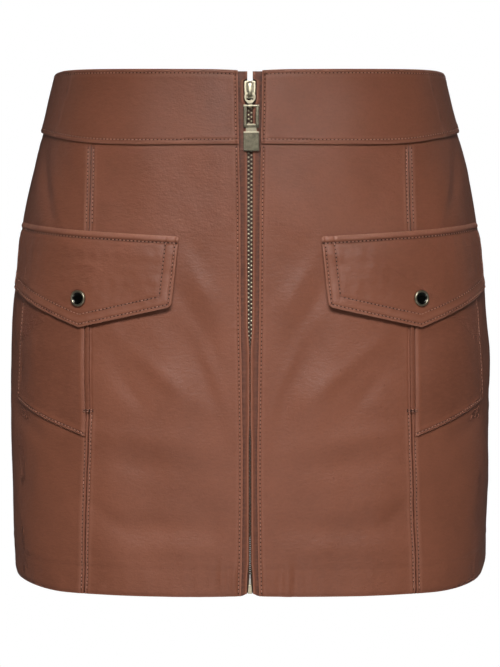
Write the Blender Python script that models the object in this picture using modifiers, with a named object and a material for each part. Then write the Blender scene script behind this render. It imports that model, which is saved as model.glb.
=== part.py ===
"""A leather mini skirt, worn shape, with a zip from waist to hem and two flap pockets.

The skirt stands in its own frame in metres: +Z is up, the front faces -Y, and "left" and
"right" are as seen from the front. The origin is the middle of the waist opening, half way
up the waistband. All tables are in millimetres. "drop" is the depth below the front of the
waist edge, "across" is the girth walked round the skirt from the centre front, and "out" is
the distance from the outer face of the panels, away from the wearer.
"""
import math
from collections import namedtuple
from functools import lru_cache

import bmesh
import bpy
import numpy as np
from mathutils import Matrix, Vector

MM = 0.001
SKIRT = "leather_mini_skirt"
WAIST_EDGE = 25.0            # height of the front waist edge over the origin

# Wall thickness of each layer.
LEATHER = 1.6
BAND_WALL = 1.8
POCKET_WALL = 1.4
FLAP_WALL = 1.8
LIP_WALL = 1.1
TAPE_WALL = 1.0
CHAIN_WALL = 2.2
WELT_WALL = 1.3

# Where the layers lie, counted out from the face of the panels.
GAP = 0.3                    # between pieces that touch
BAND_OUT = GAP
POCKET_OUT = 0.4
WELT_OUT = GAP
LIP_OUT = -LEATHER - GAP
TAPE_OUT = LIP_OUT - LIP_WALL - GAP

# Horizontal sections of the worn skirt. Each quarter is a superellipse: "flat" is the power
# across the front and back, "round" the power at the sides.
Section = namedtuple("Section", "drop half_width front_depth back_depth flat round")
SECTIONS = (
    Section(-5, 139.0, 91.2, 94.0, 2.50, 2.20),
    Section(0, 140.0, 92.0, 95.0, 2.50, 2.20),
    Section(45, 151.9, 98.5, 103.0, 2.60, 2.20),
    Section(84, 162.0, 102.5, 109.5, 2.68, 2.24),
    Section(119, 168.2, 105.2, 114.5, 2.76, 2.28),
    Section(160, 173.3, 107.8, 119.0, 2.84, 2.32),
    Section(208, 177.0, 110.6, 121.0, 2.92, 2.36),
    Section(250, 178.1, 112.6, 119.5, 3.00, 2.40),
    Section(310, 177.0, 114.2, 116.5, 3.00, 2.46),
    Section(376, 174.5, 115.0, 114.0, 3.00, 2.50),
)

# The waist edge, the waist seam and the hem, as drops at a girth.
Edge = namedtuple("Edge", "across waist seam hem")
EDGES = (
    Edge(0, 1.6, 52.2, 372.6),
    Edge(12, 0.6, 52.4, 373.0),
    Edge(30, 0.0, 52.6, 373.4),
    Edge(110, 0.0, 52.7, 373.6),
    Edge(150, 1.2, 49.4, 373.6),
    Edge(190, 4.4, 46.6, 370.2),
    Edge(235, 5.2, 46.6, 363.0),
    Edge(300, 8.0, 50.0, 364.6),
    Edge(400, 11.0, 54.0, 366.6),
)

# The zip placket: half the gap between the panels' folded edges, and between the zip's lips.
Placket = namedtuple("Placket", "drop fold lip")
PLACKET = (
    Placket(1.6, 8.6, 1.9),
    Placket(6.6, 8.5, 1.9),
    Placket(8.0, 8.5, 4.6),
    Placket(22.0, 8.3, 4.6),
    Placket(28.0, 8.2, 1.9),
    Placket(60.0, 7.6, 1.9),
    Placket(95.0, 6.8, 1.9),
    Placket(140.0, 6.6, 1.8),
    Placket(182.0, 6.4, 1.5),
    Placket(198.0, 6.0, 0.3),
    Placket(250.0, 5.3, 0.3),
    Placket(262.0, 5.1, 0.8),
    Placket(300.0, 5.1, 0.8),
    Placket(350.0, 5.7, 1.0),
    Placket(359.0, 6.0, 2.2),
    Placket(371.2, 6.3, 2.7),
)

# The front's princess seam, and how far the side seam lies behind the widest point.
Seam = namedtuple("Seam", "drop across")
PRINCESS = (
    Seam(0, 117.5),
    Seam(54, 117.2),
    Seam(120, 116.8),
    Seam(240, 116.4),
    Seam(300, 118.6),
    Seam(376, 121.2),
)
SIDE_SEAM_BEHIND = 9.0

# The largest folds: soft ridges (+) and troughs (-) on both sides of the skirt. "lean" is the
# angle of the fold from upright, and a positive one leads away from the front as it rises.
Fold = namedtuple("Fold", "across drop half_length half_width lean height")
FOLDS = (
    Fold(36, 212, 42, 11, 24, -1.5),
    Fold(52, 226, 46, 13, 22, 1.3),
    Fold(72, 300, 52, 20, 8, -1.4),
    Fold(84, 88, 30, 14, -12, -1.0),
    Fold(150, 300, 44, 20, -14, -1.8),
    Fold(172, 320, 40, 16, -10, 1.2),
    Fold(256, 84, 30, 15, 30, -1.4),
    Fold(224, 270, 52, 18, 6, -1.5),
    Fold(262, 130, 44, 15, 38, -1.8),
    Fold(285, 175, 46, 14, 44, 1.6),
    Fold(318, 222, 40, 15, 62, -2.2),
    Fold(340, 84, 40, 12, 78, -1.8),
    Fold(352, 104, 36, 11, 82, 1.4),
    Fold(300, 312, 48, 22, 12, -1.6),
    Fold(372, 300, 54, 20, 4, 1.4),
)
STILL_PLACKET = 24.0         # the folds fade out within this girth of the centre front

# The girth lattice: cells between the seams, from the placket round to the centre back.
FRONT_CELLS = 9
SIDE_CELLS = 11
BACK_CELLS = 16
PRINCESS_AT = FRONT_CELLS
SIDE_SEAM_AT = FRONT_CELLS + SIDE_CELLS
CENTRE_BACK_AT = SIDE_SEAM_AT + BACK_CELLS
SEAM_ROW = 20                # lattice row of the waist seam; row 0 is the hem
LAP_ROW = SEAM_ROW + 1       # top of the panels, under the waistband
BAND_ROWS = 4
TOP_ROW = SEAM_ROW + BAND_ROWS
LAP = 7.0

# Flat outlines of what is sewn on each side of the front, anticlockwise from below.
Corner = namedtuple("Corner", "across drop")
FLAP = (
    Corner(55.2, 167.0),
    Corner(122.5, 182.8),
    Corner(196.5, 158.8),
    Corner(193.0, 111.0),
    Corner(50.0, 117.6),
)
POCKET = (
    Corner(119.0, 260.6),
    Corner(189.0, 238.4),
    Corner(181.6, 138.0),
    Corner(119.2, 138.0),
)
WELT = (
    Corner(115.0, 242.0),
    Corner(118.3, 242.0),
    Corner(118.3, 150.0),
    Corner(115.0, 150.0),
)
SNAP = Corner(122.2, 162.3)
SNAP_RADIUS = 5.9
# The flap's inner face: how far out it lies at a distance below its sewn edge.
FlapRise = namedtuple("FlapRise", "below out")
FLAP_RISE = (
    FlapRise(0, 0.5),
    FlapRise(5, 0.9),
    FlapRise(12, 2.15),
    FlapRise(40, 2.3),
    FlapRise(75, 2.9),
)
FLAP_CORNER_LIFT = 1.6       # more lift at the loose corner beside the zip
FLAP_CORNER_SIZE = 22.0

# Zip hardware, in the slider's own frame: x to the right, z up along the zip, y into the
# skirt, and the origin on the panels' face at the link's hinge.
HINGE_DROP = 17.0
LINK_DEPTH = 0.55            # depth of the hinge axis
LINK_WIRE = 0.65
LINK_HALF_WIDTH = 3.25
LINK_LENGTH = 8.8
EYE_RADIUS = 1.9
EYE_BORE = 1.15
EYE_WIDTH = 2.2
TAB_SHIFT = 0.9              # the tab hangs a little to the right in the link's eye
CROSSBAR_RADIUS = 0.8
TAB_WIDTH = 11.0
TAB_THICKNESS = 1.8
FRAME_LENGTH = 15.6
WINDOW_WIDTH = 6.0
WINDOW_LENGTH = 13.2
NECK_WIDTH = 7.6
PLATE_TOP = 18.6
PLATE_BOTTOM = 32.4
CHAIN_HALF_WIDTH = 1.6
CHAIN_TOP = 12.0
CHAIN_BOTTOM = 360.4
TAPE_EDGE = 1.9
TAPE_REACH = 15.0
STOP_BOTTOM = 370.8
STOP_HALF_WIDTH = 1.75


# ---- tables and the surface --------------------------------------------------------------

def smooth_value(rows, key, at):
    """Read a table between its rows on a smooth curve."""
    xs = [row[0] for row in rows]
    ys = [getattr(row, key) for row in rows]
    if at <= xs[0] or at >= xs[-1]:
        return ys[0] if at <= xs[0] else ys[-1]
    k = max(i for i in range(len(xs) - 1) if xs[i] <= at)

    def slope(i):
        low, high = max(i - 1, 0), min(i + 1, len(xs) - 1)
        return (ys[high] - ys[low]) / (xs[high] - xs[low])

    step = xs[k + 1] - xs[k]
    t = (at - xs[k]) / step
    rise = ys[k] * (2 * t**3 - 3 * t**2 + 1) + ys[k + 1] * (3 * t**2 - 2 * t**3)
    return rise + step * (slope(k) * (t**3 - 2 * t**2 + t) + slope(k + 1) * (t**3 - t**2))


def straight_value(rows, key, at):
    """Read a table between its rows on straight lines."""
    return float(np.interp(at, [row[0] for row in rows], [getattr(row, key) for row in rows]))


@lru_cache(maxsize=None)
def section_line(drop):
    """The section at a drop, from centre front to centre back: x, y, girth and side girth."""
    width, front, back, flat, round_ = (
        smooth_value(SECTIONS, key, drop) for key in Section._fields[1:])
    turn = np.linspace(0.0, math.pi / 2, 320)
    x = width * np.sin(turn) ** (2 / flat)
    y = np.cos(turn) ** (2 / round_)
    xs = np.concatenate([x, x[-2::-1]])
    ys = np.concatenate([-front * y, back * y[-2::-1]])
    girth = np.concatenate([[0.0], np.cumsum(np.hypot(np.diff(xs), np.diff(ys)))])
    return xs, ys, girth, girth[len(x) - 1]


def fold_height(across, drop):
    """How far the folds lift the cloth at a place."""
    height = 0.0
    for fold in FOLDS:
        lean = math.radians(fold.lean)
        aside = across - fold.across
        above = fold.drop - drop
        along = (aside * math.sin(lean) + above * math.cos(lean)) / fold.half_length
        over = (aside * math.cos(lean) - above * math.sin(lean)) / fold.half_width
        height += fold.height * math.exp(-along * along - over * over)
    return height * min(1.0, (across / STILL_PLACKET) ** 2)


def surface_point(across, drop, out):
    """A point of the right-hand half of the skirt, in metres, and its level outward normal."""
    xs, ys, girth, _ = section_line(round(drop, 2))
    step = 3.0
    here, ahead, behind = (
        (np.interp(abs(place), girth, xs) * (1 if place >= 0 else -1), np.interp(abs(place), girth, ys))
        for place in (across, across + step, across - step))
    if across + step > girth[-1]:
        ahead = (-np.interp(2 * girth[-1] - across - step, girth, xs), here[1])
    normal = Vector((ahead[1] - behind[1], behind[0] - ahead[0], 0.0)).normalized()
    lift = out + fold_height(abs(across), drop)
    return Vector((here[0], here[1], WAIST_EDGE - drop)) * MM + normal * lift * MM, normal


# ---- the girth lattice ---------------------------------------------------------------------

def column_across(column, drop):
    """The girth at a lattice column: the seams carry columns 0, 9, 20 and 36."""
    _, _, girth, side = section_line(round(drop, 2))
    stops = (0, PRINCESS_AT, SIDE_SEAM_AT, CENTRE_BACK_AT)
    places = (straight_value(PLACKET, "fold", drop), smooth_value(PRINCESS, "across", drop),
              side + SIDE_SEAM_BEHIND, girth[-1])
    return float(np.interp(column, stops, places))


def edge_drop(key, column):
    """The drop of the waist edge, waist seam or hem at a lattice column."""
    drop = getattr(EDGES[0], key)
    for _ in range(4):
        drop = smooth_value(EDGES, key, column_across(column, drop))
    return drop


@lru_cache(maxsize=None)
def column_drops(column):
    """The drops of all the rows at a column."""
    hem, seam, waist = (edge_drop(key, column) for key in ("hem", "seam", "waist"))
    rows = [hem + (seam - hem) * row / SEAM_ROW for row in range(SEAM_ROW + 1)]
    lap = seam - LAP
    rows += [lap + (waist - lap) * row / (BAND_ROWS - 1) for row in range(BAND_ROWS)]
    return rows


@lru_cache(maxsize=None)
def knot(column, row):
    """A lattice point on the panels' outer face, and its normal."""
    drop = column_drops(column)[row]
    return surface_point(column_across(column, drop), drop, 0.0)


def sheet_point(column, row, out):
    """A point between the lattice's knots, moved out from the panels' facets."""
    low_column = min(int(column), CENTRE_BACK_AT - 1)
    low_row = min(int(row), TOP_ROW - 1)
    u, v = column - low_column, row - low_row
    point, normal = Vector(), Vector()
    for dc, dr, share in ((0, 0, (1 - u) * (1 - v)), (1, 0, u * (1 - v)), (0, 1, (1 - u) * v), (1, 1, u * v)):
        if share > 0:
            knot_point, knot_normal = knot(low_column + dc, low_row + dr)
            point += knot_point * share
            normal += knot_normal * share
    return point + normal * out * MM


def lattice_place(across, drop):
    """The lattice column and row of a place on the skirt."""
    columns = range(CENTRE_BACK_AT + 1)
    column = float(np.interp(across, [column_across(c, drop) for c in columns], columns))
    low = min(int(column), CENTRE_BACK_AT - 1)
    drops = [a + (b - a) * (column - low) for a, b in zip(column_drops(low), column_drops(low + 1))]
    row = float(np.interp(-drop, [-value for value in drops], range(TOP_ROW + 1)))
    return Vector((column, row, 0.0))


# ---- objects -------------------------------------------------------------------------------

def collection(name):
    made = bpy.data.collections.new(name)
    bpy.context.scene.collection.children.link(made)
    return made


def material(name, colour, roughness, metallic):
    made = bpy.data.materials.new(name)
    made.use_nodes = True
    made.diffuse_color = colour
    shader = made.node_tree.nodes["Principled BSDF"]
    shader.inputs["Base Color"].default_value = colour
    shader.inputs["Roughness"].default_value = roughness
    shader.inputs["Metallic"].default_value = metallic
    return made


def new_object(name, bm, finish, parts, smooth=35.0):
    """Put a bmesh into a named object of a collection."""
    mesh = bpy.data.meshes.new(name)
    bm.to_mesh(mesh)
    bm.free()
    mesh.materials.append(finish)
    mesh.shade_smooth()
    mesh.set_sharp_from_angle(angle=math.radians(smooth))
    made = bpy.data.objects.new(name, mesh)
    parts.objects.link(made)
    return made


def thicken(made, wall, outwards):
    """Give a cloth surface its wall."""
    solid = made.modifiers.new("wall", "SOLIDIFY")
    solid.thickness = wall * MM
    solid.offset = 1.0 if outwards else -1.0
    solid.use_even_offset = False


def flat_grid(columns, rows):
    """A flat grid with its lines at the given columns and rows."""
    bm = bmesh.new()
    bmesh.ops.create_grid(bm, x_segments=len(columns) - 1, y_segments=len(rows) - 1, size=0.5)
    for vert in bm.verts:
        across = round((vert.co.x + 0.5) * (len(columns) - 1))
        up = round((vert.co.y + 0.5) * (len(rows) - 1))
        vert.co = Vector((columns[across], rows[up], 0.0))
    return bm


def trim(bm, outline):
    """Keep what lies inside a convex outline that runs anticlockwise."""
    for start, end in zip(outline, outline[1:] + outline[:1]):
        outward = Vector((end.y - start.y, start.x - end.x, 0.0)).normalized()
        bmesh.ops.bisect_plane(
            bm, geom=bm.verts[:] + bm.edges[:] + bm.faces[:], dist=1e-5,
            plane_co=start, plane_no=outward, clear_outer=True)


def lay_on_skirt(bm, side, out):
    """Bend a flat lattice sheet round the skirt. side is 1 on the right and -1 on the left."""
    for vert in bm.verts:
        column, row = vert.co.x, vert.co.y
        place = sheet_point(column, row, out(column, row) if callable(out) else out)
        vert.co = Vector((place.x * side, place.y, place.z))
    bmesh.ops.recalc_face_normals(bm, faces=bm.faces)
    face = max(bm.faces, key=lambda item: item.calc_area())
    if face.normal.dot(Vector((face.calc_center_median().x, face.calc_center_median().y, 0))) < 0:
        bmesh.ops.reverse_faces(bm, faces=bm.faces)


def seam_lines(first, last, cells_per_line=1):
    """Lattice lines of a panel, drawn in by half the seam gap at each end."""
    inset = GAP / 2 / 12.0       # a cell is about 12 mm wide
    count = (last - first) * cells_per_line
    lines = [first + step / cells_per_line for step in range(count + 1)]
    lines[0] += inset
    lines[-1] -= inset
    return lines


# ---- the leather pieces ----------------------------------------------------------------------

def panel(name, side, first, last, finish, parts):
    """One panel from the hem to just above the waist seam."""
    rows = list(range(LAP_ROW + 1))
    bm = flat_grid(seam_lines(first, last), rows)
    lay_on_skirt(bm, side, 0.0)
    made = new_object(name, bm, finish, parts)
    thicken(made, LEATHER, outwards=False)


def waistband_front(name, side, finish, parts):
    """Half the front waistband, from the zip to the side seam, lapped over the panels."""
    bm = flat_grid(seam_lines(0, SIDE_SEAM_AT), list(range(SEAM_ROW, TOP_ROW + 1)))
    lay_on_skirt(bm, side, BAND_OUT)
    made = new_object(name, bm, finish, parts)
    thicken(made, BAND_WALL, outwards=True)


def waistband_back(name, finish, parts):
    """The back waistband in one piece: the right half, mirrored at the centre back."""
    columns = seam_lines(SIDE_SEAM_AT, CENTRE_BACK_AT)
    columns[-1] = CENTRE_BACK_AT
    bm = flat_grid(columns, list(range(SEAM_ROW, TOP_ROW + 1)))
    lay_on_skirt(bm, 1, BAND_OUT)
    for vert in bm.verts:
        if abs(vert.co.x) < 0.5 * MM:
            vert.co.x = 0.0
    made = new_object(name, bm, finish, parts)
    mirror = made.modifiers.new("other half", "MIRROR")
    mirror.merge_threshold = 0.00005
    thicken(made, BAND_WALL, outwards=True)


def cut_sheet(corners, cells_per_line):
    """A flat lattice sheet cut to an outline of corners on the skirt."""
    outline = [lattice_place(corner.across, corner.drop) for corner in corners]
    low = [math.floor(min(place[axis] for place in outline)) for axis in (0, 1)]
    high = [math.ceil(max(place[axis] for place in outline)) for axis in (0, 1)]
    lines = [[low[axis] + step / cells_per_line
              for step in range((high[axis] - low[axis]) * cells_per_line + 1)] for axis in (0, 1)]
    bm = flat_grid(*lines)
    trim(bm, outline)
    return bm


def flap_out(column, row):
    """How far out the flap's inner face lies."""
    low = min(int(column), CENTRE_BACK_AT - 1)
    drops = [a + (b - a) * (column - low) for a, b in zip(column_drops(low), column_drops(low + 1))]
    drop = float(np.interp(row, range(TOP_ROW + 1), drops))
    across = column_across(column, drop)
    outer, inner = FLAP[3], FLAP[4]
    top = float(np.interp(across, (inner.across, outer.across), (inner.drop, outer.drop)))
    loose = FLAP[0]
    reach = math.hypot(across - loose.across, drop - loose.drop) / FLAP_CORNER_SIZE
    return straight_value(FLAP_RISE, "out", drop - top) + FLAP_CORNER_LIFT * math.exp(-reach * reach)


def pocket_flap(name, side, finish, parts):
    bm = cut_sheet(FLAP, 2)
    lay_on_skirt(bm, side, flap_out)
    made = new_object(name, bm, finish, parts)
    thicken(made, FLAP_WALL, outwards=True)


def pocket(name, side, finish, parts):
    bm = cut_sheet(POCKET, 1)
    lay_on_skirt(bm, side, POCKET_OUT)
    made = new_object(name, bm, finish, parts)
    thicken(made, POCKET_WALL, outwards=True)


def pocket_welt(name, side, finish, parts):
    """The narrow welt that stands in the pocket's opening, over the princess seam."""
    bm = cut_sheet(WELT, 1)
    lay_on_skirt(bm, side, WELT_OUT)
    made = new_object(name, bm, finish, parts)
    thicken(made, WELT_WALL, outwards=True)


# ---- the zip ---------------------------------------------------------------------------------

def placket_strip(columns, drops, side, place):
    """A strip beside the zip. place gives the girth and depth for a column and a drop."""
    bm = flat_grid(columns, [-drop for drop in drops][::-1])
    for vert in bm.verts:
        across, out = place(vert.co.x, -vert.co.y)
        point, _ = surface_point(across, -vert.co.y, out)
        vert.co = Vector((point.x * side, point.y, point.z))
    bmesh.ops.recalc_face_normals(bm, faces=bm.faces)
    bm.faces.ensure_lookup_table()
    if bm.faces[0].normal.y > 0:
        bmesh.ops.reverse_faces(bm, faces=bm.faces)
    return bm


def placket_drops(top, bottom):
    """Drops for a strip beside the zip: the placket's own rows and one every 20 mm."""
    drops = {row.drop for row in PLACKET} | set(range(40, 360, 20))
    inner = [drop for drop in sorted(drops) if top + 1 < drop < bottom - 1]
    return [top] + inner + [bottom]


def zip_lip(name, side, finish, parts):
    """The leather lip between a panel's folded edge and the teeth."""
    def place(column, drop):
        inner = straight_value(PLACKET, "lip", drop)
        outer = straight_value(PLACKET, "fold", drop) + 8.0
        return inner + (outer - inner) * column, LIP_OUT

    drops = placket_drops(PLACKET[0].drop, PLACKET[-1].drop)
    bm = placket_strip([0.0, 0.4, 1.0], drops, side, place)
    made = new_object(name, bm, finish, parts)
    thicken(made, LIP_WALL, outwards=False)


def zip_tape(name, side, finish, parts):
    """The woven tape behind the lip."""
    def place(column, drop):
        return TAPE_EDGE + (TAPE_REACH - TAPE_EDGE) * column, TAPE_OUT

    drops = [2.6] + list(range(20, 360, 20)) + [369.0]
    bm = placket_strip([0.0, 1.0], drops, side, place)
    made = new_object(name, bm, finish, parts)
    thicken(made, TAPE_WALL, outwards=False)


def zip_chain(name, finish, parts):
    """The closed teeth, as one strip."""
    def place(column, drop):
        return CHAIN_HALF_WIDTH * column, TAPE_OUT

    drops = [CHAIN_TOP] + list(range(20, 360, 20)) + [CHAIN_BOTTOM]
    bm = placket_strip([-1.0, 1.0], drops, 1, place)
    made = new_object(name, bm, finish, parts)
    thicken(made, CHAIN_WALL, outwards=False)


def zip_frame(drop):
    """The frame on the panels' face at the centre front: its tilt follows the front."""
    here, _ = surface_point(0.0, drop, 0.0)
    below, _ = surface_point(0.0, drop + 8.0, 0.0)
    above, _ = surface_point(0.0, drop - 8.0, 0.0)
    tilt = math.atan2(above.y - below.y, above.z - below.z)
    return Matrix.Translation(here) @ Matrix.Rotation(-tilt, 4, "X")


def block(bm, low, high):
    """Add a box between two corners, in millimetres."""
    middle = (Vector(low) + Vector(high)) / 2 * MM
    size = (Vector(high) - Vector(low)) * MM
    turn = Matrix.Translation(middle) @ Matrix.Diagonal((*size, 1.0))
    return bmesh.ops.create_cube(bm, size=1.0, matrix=turn)["verts"]


def bar(bm, radius, low, high, middle, segments=12):
    """Add a round bar along x, in millimetres. middle is its y and z."""
    place = Vector(((low + high) / 2, *middle)) * MM
    turn = Matrix.Translation(place) @ Matrix.Rotation(math.pi / 2, 4, "Y")
    bmesh.ops.create_cone(
        bm, cap_ends=True, segments=segments, radius1=radius * MM, radius2=radius * MM,
        depth=(high - low) * MM, matrix=turn)


def shape(name, build, finish, parts, frame):
    """A hardware piece made by a function that fills a bmesh, placed in a frame."""
    bm = bmesh.new()
    build(bm)
    made = new_object(name, bm, finish, parts)
    made.matrix_world = frame
    return made


def combine(made, build, operation, cutters, finish):
    """Join or cut a piece with another shape that is kept with the cutters."""
    tool = shape(f"{made.name}_{operation.lower()}_{len(made.modifiers)}", build, finish, cutters,
                 made.matrix_world)
    tool.hide_render = True
    tool.display_type = "WIRE"
    modifier = made.modifiers.new(operation.lower(), "BOOLEAN")
    modifier.operation = operation
    modifier.solver = "EXACT"
    modifier.object = tool


def side_outline(bm, points, half_width):
    """Add a shape of constant width from its outline seen from the side, as (y, z)."""
    verts = [bm.verts.new(Vector((-half_width, y, z)) * MM) for y, z in points]
    face = bm.faces.new(verts)
    grown = bmesh.ops.extrude_face_region(bm, geom=[face])["geom"]
    moved = [item for item in grown if isinstance(item, bmesh.types.BMVert)]
    bmesh.ops.translate(bm, verts=moved, vec=Vector((2 * half_width * MM, 0, 0)))
    bmesh.ops.recalc_face_normals(bm, faces=bm.faces)


def zip_slider(name, finish, parts, cutters):
    """The slider: two plates round the chain, the post between them, and the bridge."""
    frame = zip_frame(HINGE_DROP)
    top, bottom = 9.2, -3.4

    def front_plate(bm):
        block(bm, (-4.15, 1.6, bottom), (4.15, 3.0, top))
        bmesh.ops.bevel(bm, geom=bm.edges[:], offset=0.35 * MM, segments=1, affect="EDGES",
                        profile=0.5, material=-1)

    def back_plate(bm):
        block(bm, (-4.15, 5.9, bottom), (4.15, 7.1, top))

    def post(bm):
        block(bm, (-1.2, 2.4, 5.6), (1.2, 6.5, 8.6))

    def bridge(bm):
        outline = ((2.2, -2.4), (0.0, -2.4), (-1.2, -1.9), (-2.0, -0.9), (-2.0, 7.2), (-1.2, 8.6),
                   (0.4, 9.0), (2.2, 9.0), (2.2, 7.6), (0.6, 7.5), (-0.3, 7.0), (-0.7, 6.0),
                   (-0.7, -0.2), (-0.3, -0.9), (0.4, -1.1), (2.2, -1.1))
        side_outline(bm, outline, 1.5)

    made = shape(name, front_plate, finish, parts, frame)
    combine(made, back_plate, "UNION", cutters, finish)
    combine(made, post, "UNION", cutters, finish)
    combine(made, bridge, "UNION", cutters, finish)
    return frame


def wire_loop(points, radius):
    """A closed wire through points in the x, z plane, as a mesh in a bmesh."""
    curve = bpy.data.curves.new("loop", "CURVE")
    curve.dimensions = "3D"
    curve.bevel_depth = radius * MM
    curve.bevel_resolution = 2
    spline = curve.splines.new("POLY")
    spline.points.add(len(points) - 1)
    spline.use_cyclic_u = True
    for knot_point, (x, z) in zip(spline.points, points):
        knot_point.co = (x * MM, 0.0, z * MM, 1.0)
    holder = bpy.data.objects.new("loop", curve)
    bpy.context.scene.collection.objects.link(holder)
    depsgraph = bpy.context.evaluated_depsgraph_get()
    mesh = bpy.data.meshes.new_from_object(holder.evaluated_get(depsgraph))
    bm = bmesh.new()
    bm.from_mesh(mesh)
    bmesh.ops.remove_doubles(bm, verts=bm.verts, dist=1e-6)
    bmesh.ops.recalc_face_normals(bm, faces=bm.faces)
    bpy.data.objects.remove(holder)
    bpy.data.curves.remove(curve)
    bpy.data.meshes.remove(mesh)
    return bm


def pull_link(name, frame, finish, parts, cutters):
    """The link: a wire loop hinged under the bridge, with an eye at its lower end."""
    hinge = frame @ Matrix.Translation(Vector((0, LINK_DEPTH, 0)) * MM)
    half, eye = LINK_HALF_WIDTH, -LINK_LENGTH
    corner = 0.5
    right = [(half - corner, 0.0), (half - 0.1, -0.2), (half, -corner), (half, -4.0), (2.7, -5.4),
             (1.4, -6.7), (0.8, eye + 1.5)]
    loop = right + [(-x, z) for x, z in right[::-1]]
    made = new_object(name, wire_loop(loop, LINK_WIRE), finish, parts)
    made.matrix_world = hinge

    def eye_body(bm):
        bar(bm, EYE_RADIUS, -EYE_WIDTH / 2, EYE_WIDTH / 2, (0.0, eye), segments=20)

    def eye_bore(bm):
        bar(bm, EYE_BORE, -EYE_WIDTH, EYE_WIDTH, (0.0, eye), segments=20)

    combine(made, eye_body, "UNION", cutters, finish)
    combine(made, eye_bore, "DIFFERENCE", cutters, finish)
    return hinge


def pull_tab(name, hinge, finish, parts, cutters):
    """The tab: an open frame on a crossbar, a short neck and a plain plate."""
    axis = hinge @ Matrix.Translation(Vector((TAB_SHIFT, 0, -LINK_LENGTH)) * MM)
    half, thick = TAB_WIDTH / 2, TAB_THICKNESS / 2

    def frame_body(bm):
        block(bm, (-half, -thick + 0.1, -FRAME_LENGTH), (half, thick - 0.1, 0.5))
        bmesh.ops.bevel(bm, geom=bm.edges[:], offset=0.3 * MM, segments=1, affect="EDGES",
                        profile=0.5, material=-1)

    def window(bm):
        block(bm, (-WINDOW_WIDTH / 2, -3, -WINDOW_LENGTH), (WINDOW_WIDTH / 2, 3, 3))

    def crossbar(bm):
        bar(bm, CROSSBAR_RADIUS, -half - 0.1, half + 0.1, (0.0, 0.0))

    def neck(bm):
        block(bm, (-NECK_WIDTH / 2, -0.6, -PLATE_TOP - 1), (NECK_WIDTH / 2, 0.6, -FRAME_LENGTH + 1))

    def plate(bm):
        block(bm, (-half - 0.1, -thick, -PLATE_BOTTOM), (half + 0.1, thick, -PLATE_TOP))
        bmesh.ops.bevel(bm, geom=bm.edges[:], offset=0.4 * MM, segments=1, affect="EDGES",
                        profile=0.5, material=-1)

    made = shape(name, frame_body, finish, parts, axis)
    combine(made, window, "DIFFERENCE", cutters, finish)
    combine(made, crossbar, "UNION", cutters, finish)
    combine(made, neck, "UNION", cutters, finish)
    combine(made, plate, "UNION", cutters, finish)


def zip_stop(name, finish, parts):
    """The box at the foot of the zip, with its tapered top."""
    frame = zip_frame((CHAIN_BOTTOM + STOP_BOTTOM) / 2)
    half = (STOP_BOTTOM - CHAIN_BOTTOM - GAP) / 2

    def box(bm):
        verts = block(bm, (-STOP_HALF_WIDTH, 2.4, -half), (STOP_HALF_WIDTH, 5.6, half - 0.3))
        for vert in verts:
            if vert.co.z > 0:
                vert.co.x *= 0.55
        bmesh.ops.bevel(bm, geom=bm.edges[:], offset=0.25 * MM, segments=1, affect="EDGES",
                        profile=0.5, material=-1)

    shape(name, box, finish, parts, frame)


# ---- the snaps -------------------------------------------------------------------------------

def snap(name, side, finish, parts):
    """A dished snap cap, a turned profile that sits on the flap."""
    place = lattice_place(SNAP.across, SNAP.drop)
    seat = sheet_point(place.x, place.y, flap_out(place.x, place.y) + FLAP_WALL + GAP + 0.1)
    across = sheet_point(place.x + 0.2, place.y, 0) - sheet_point(place.x - 0.2, place.y, 0)
    rise = sheet_point(place.x, place.y + 0.2, 0) - sheet_point(place.x, place.y - 0.2, 0)
    outward = across.cross(rise).normalized()
    seat.x *= side
    outward.x *= side
    profile = ((0.0, 0.9), (0.55, 1.0), (0.72, 1.7), (0.86, 2.1), (0.95, 1.9), (1.0, 1.2),
               (0.96, 0.2), (0.9, 0.0), (0.0, 0.0))
    bm = bmesh.new()
    verts = [bm.verts.new((r * SNAP_RADIUS * MM, 0.0, z * MM)) for r, z in profile]
    for start, end in zip(verts, verts[1:]):
        bm.edges.new((start, end))
    made = new_object(name, bm, finish, parts)
    turned = made.modifiers.new("turned", "SCREW")
    turned.steps = 24
    turned.render_steps = 24
    turned.use_merge_vertices = True
    turned.merge_threshold = 0.00001
    made.matrix_world = Matrix.Translation(seat) @ outward.to_track_quat("Z", "Y").to_matrix().to_4x4()


# ---- the whole skirt -------------------------------------------------------------------------

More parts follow.
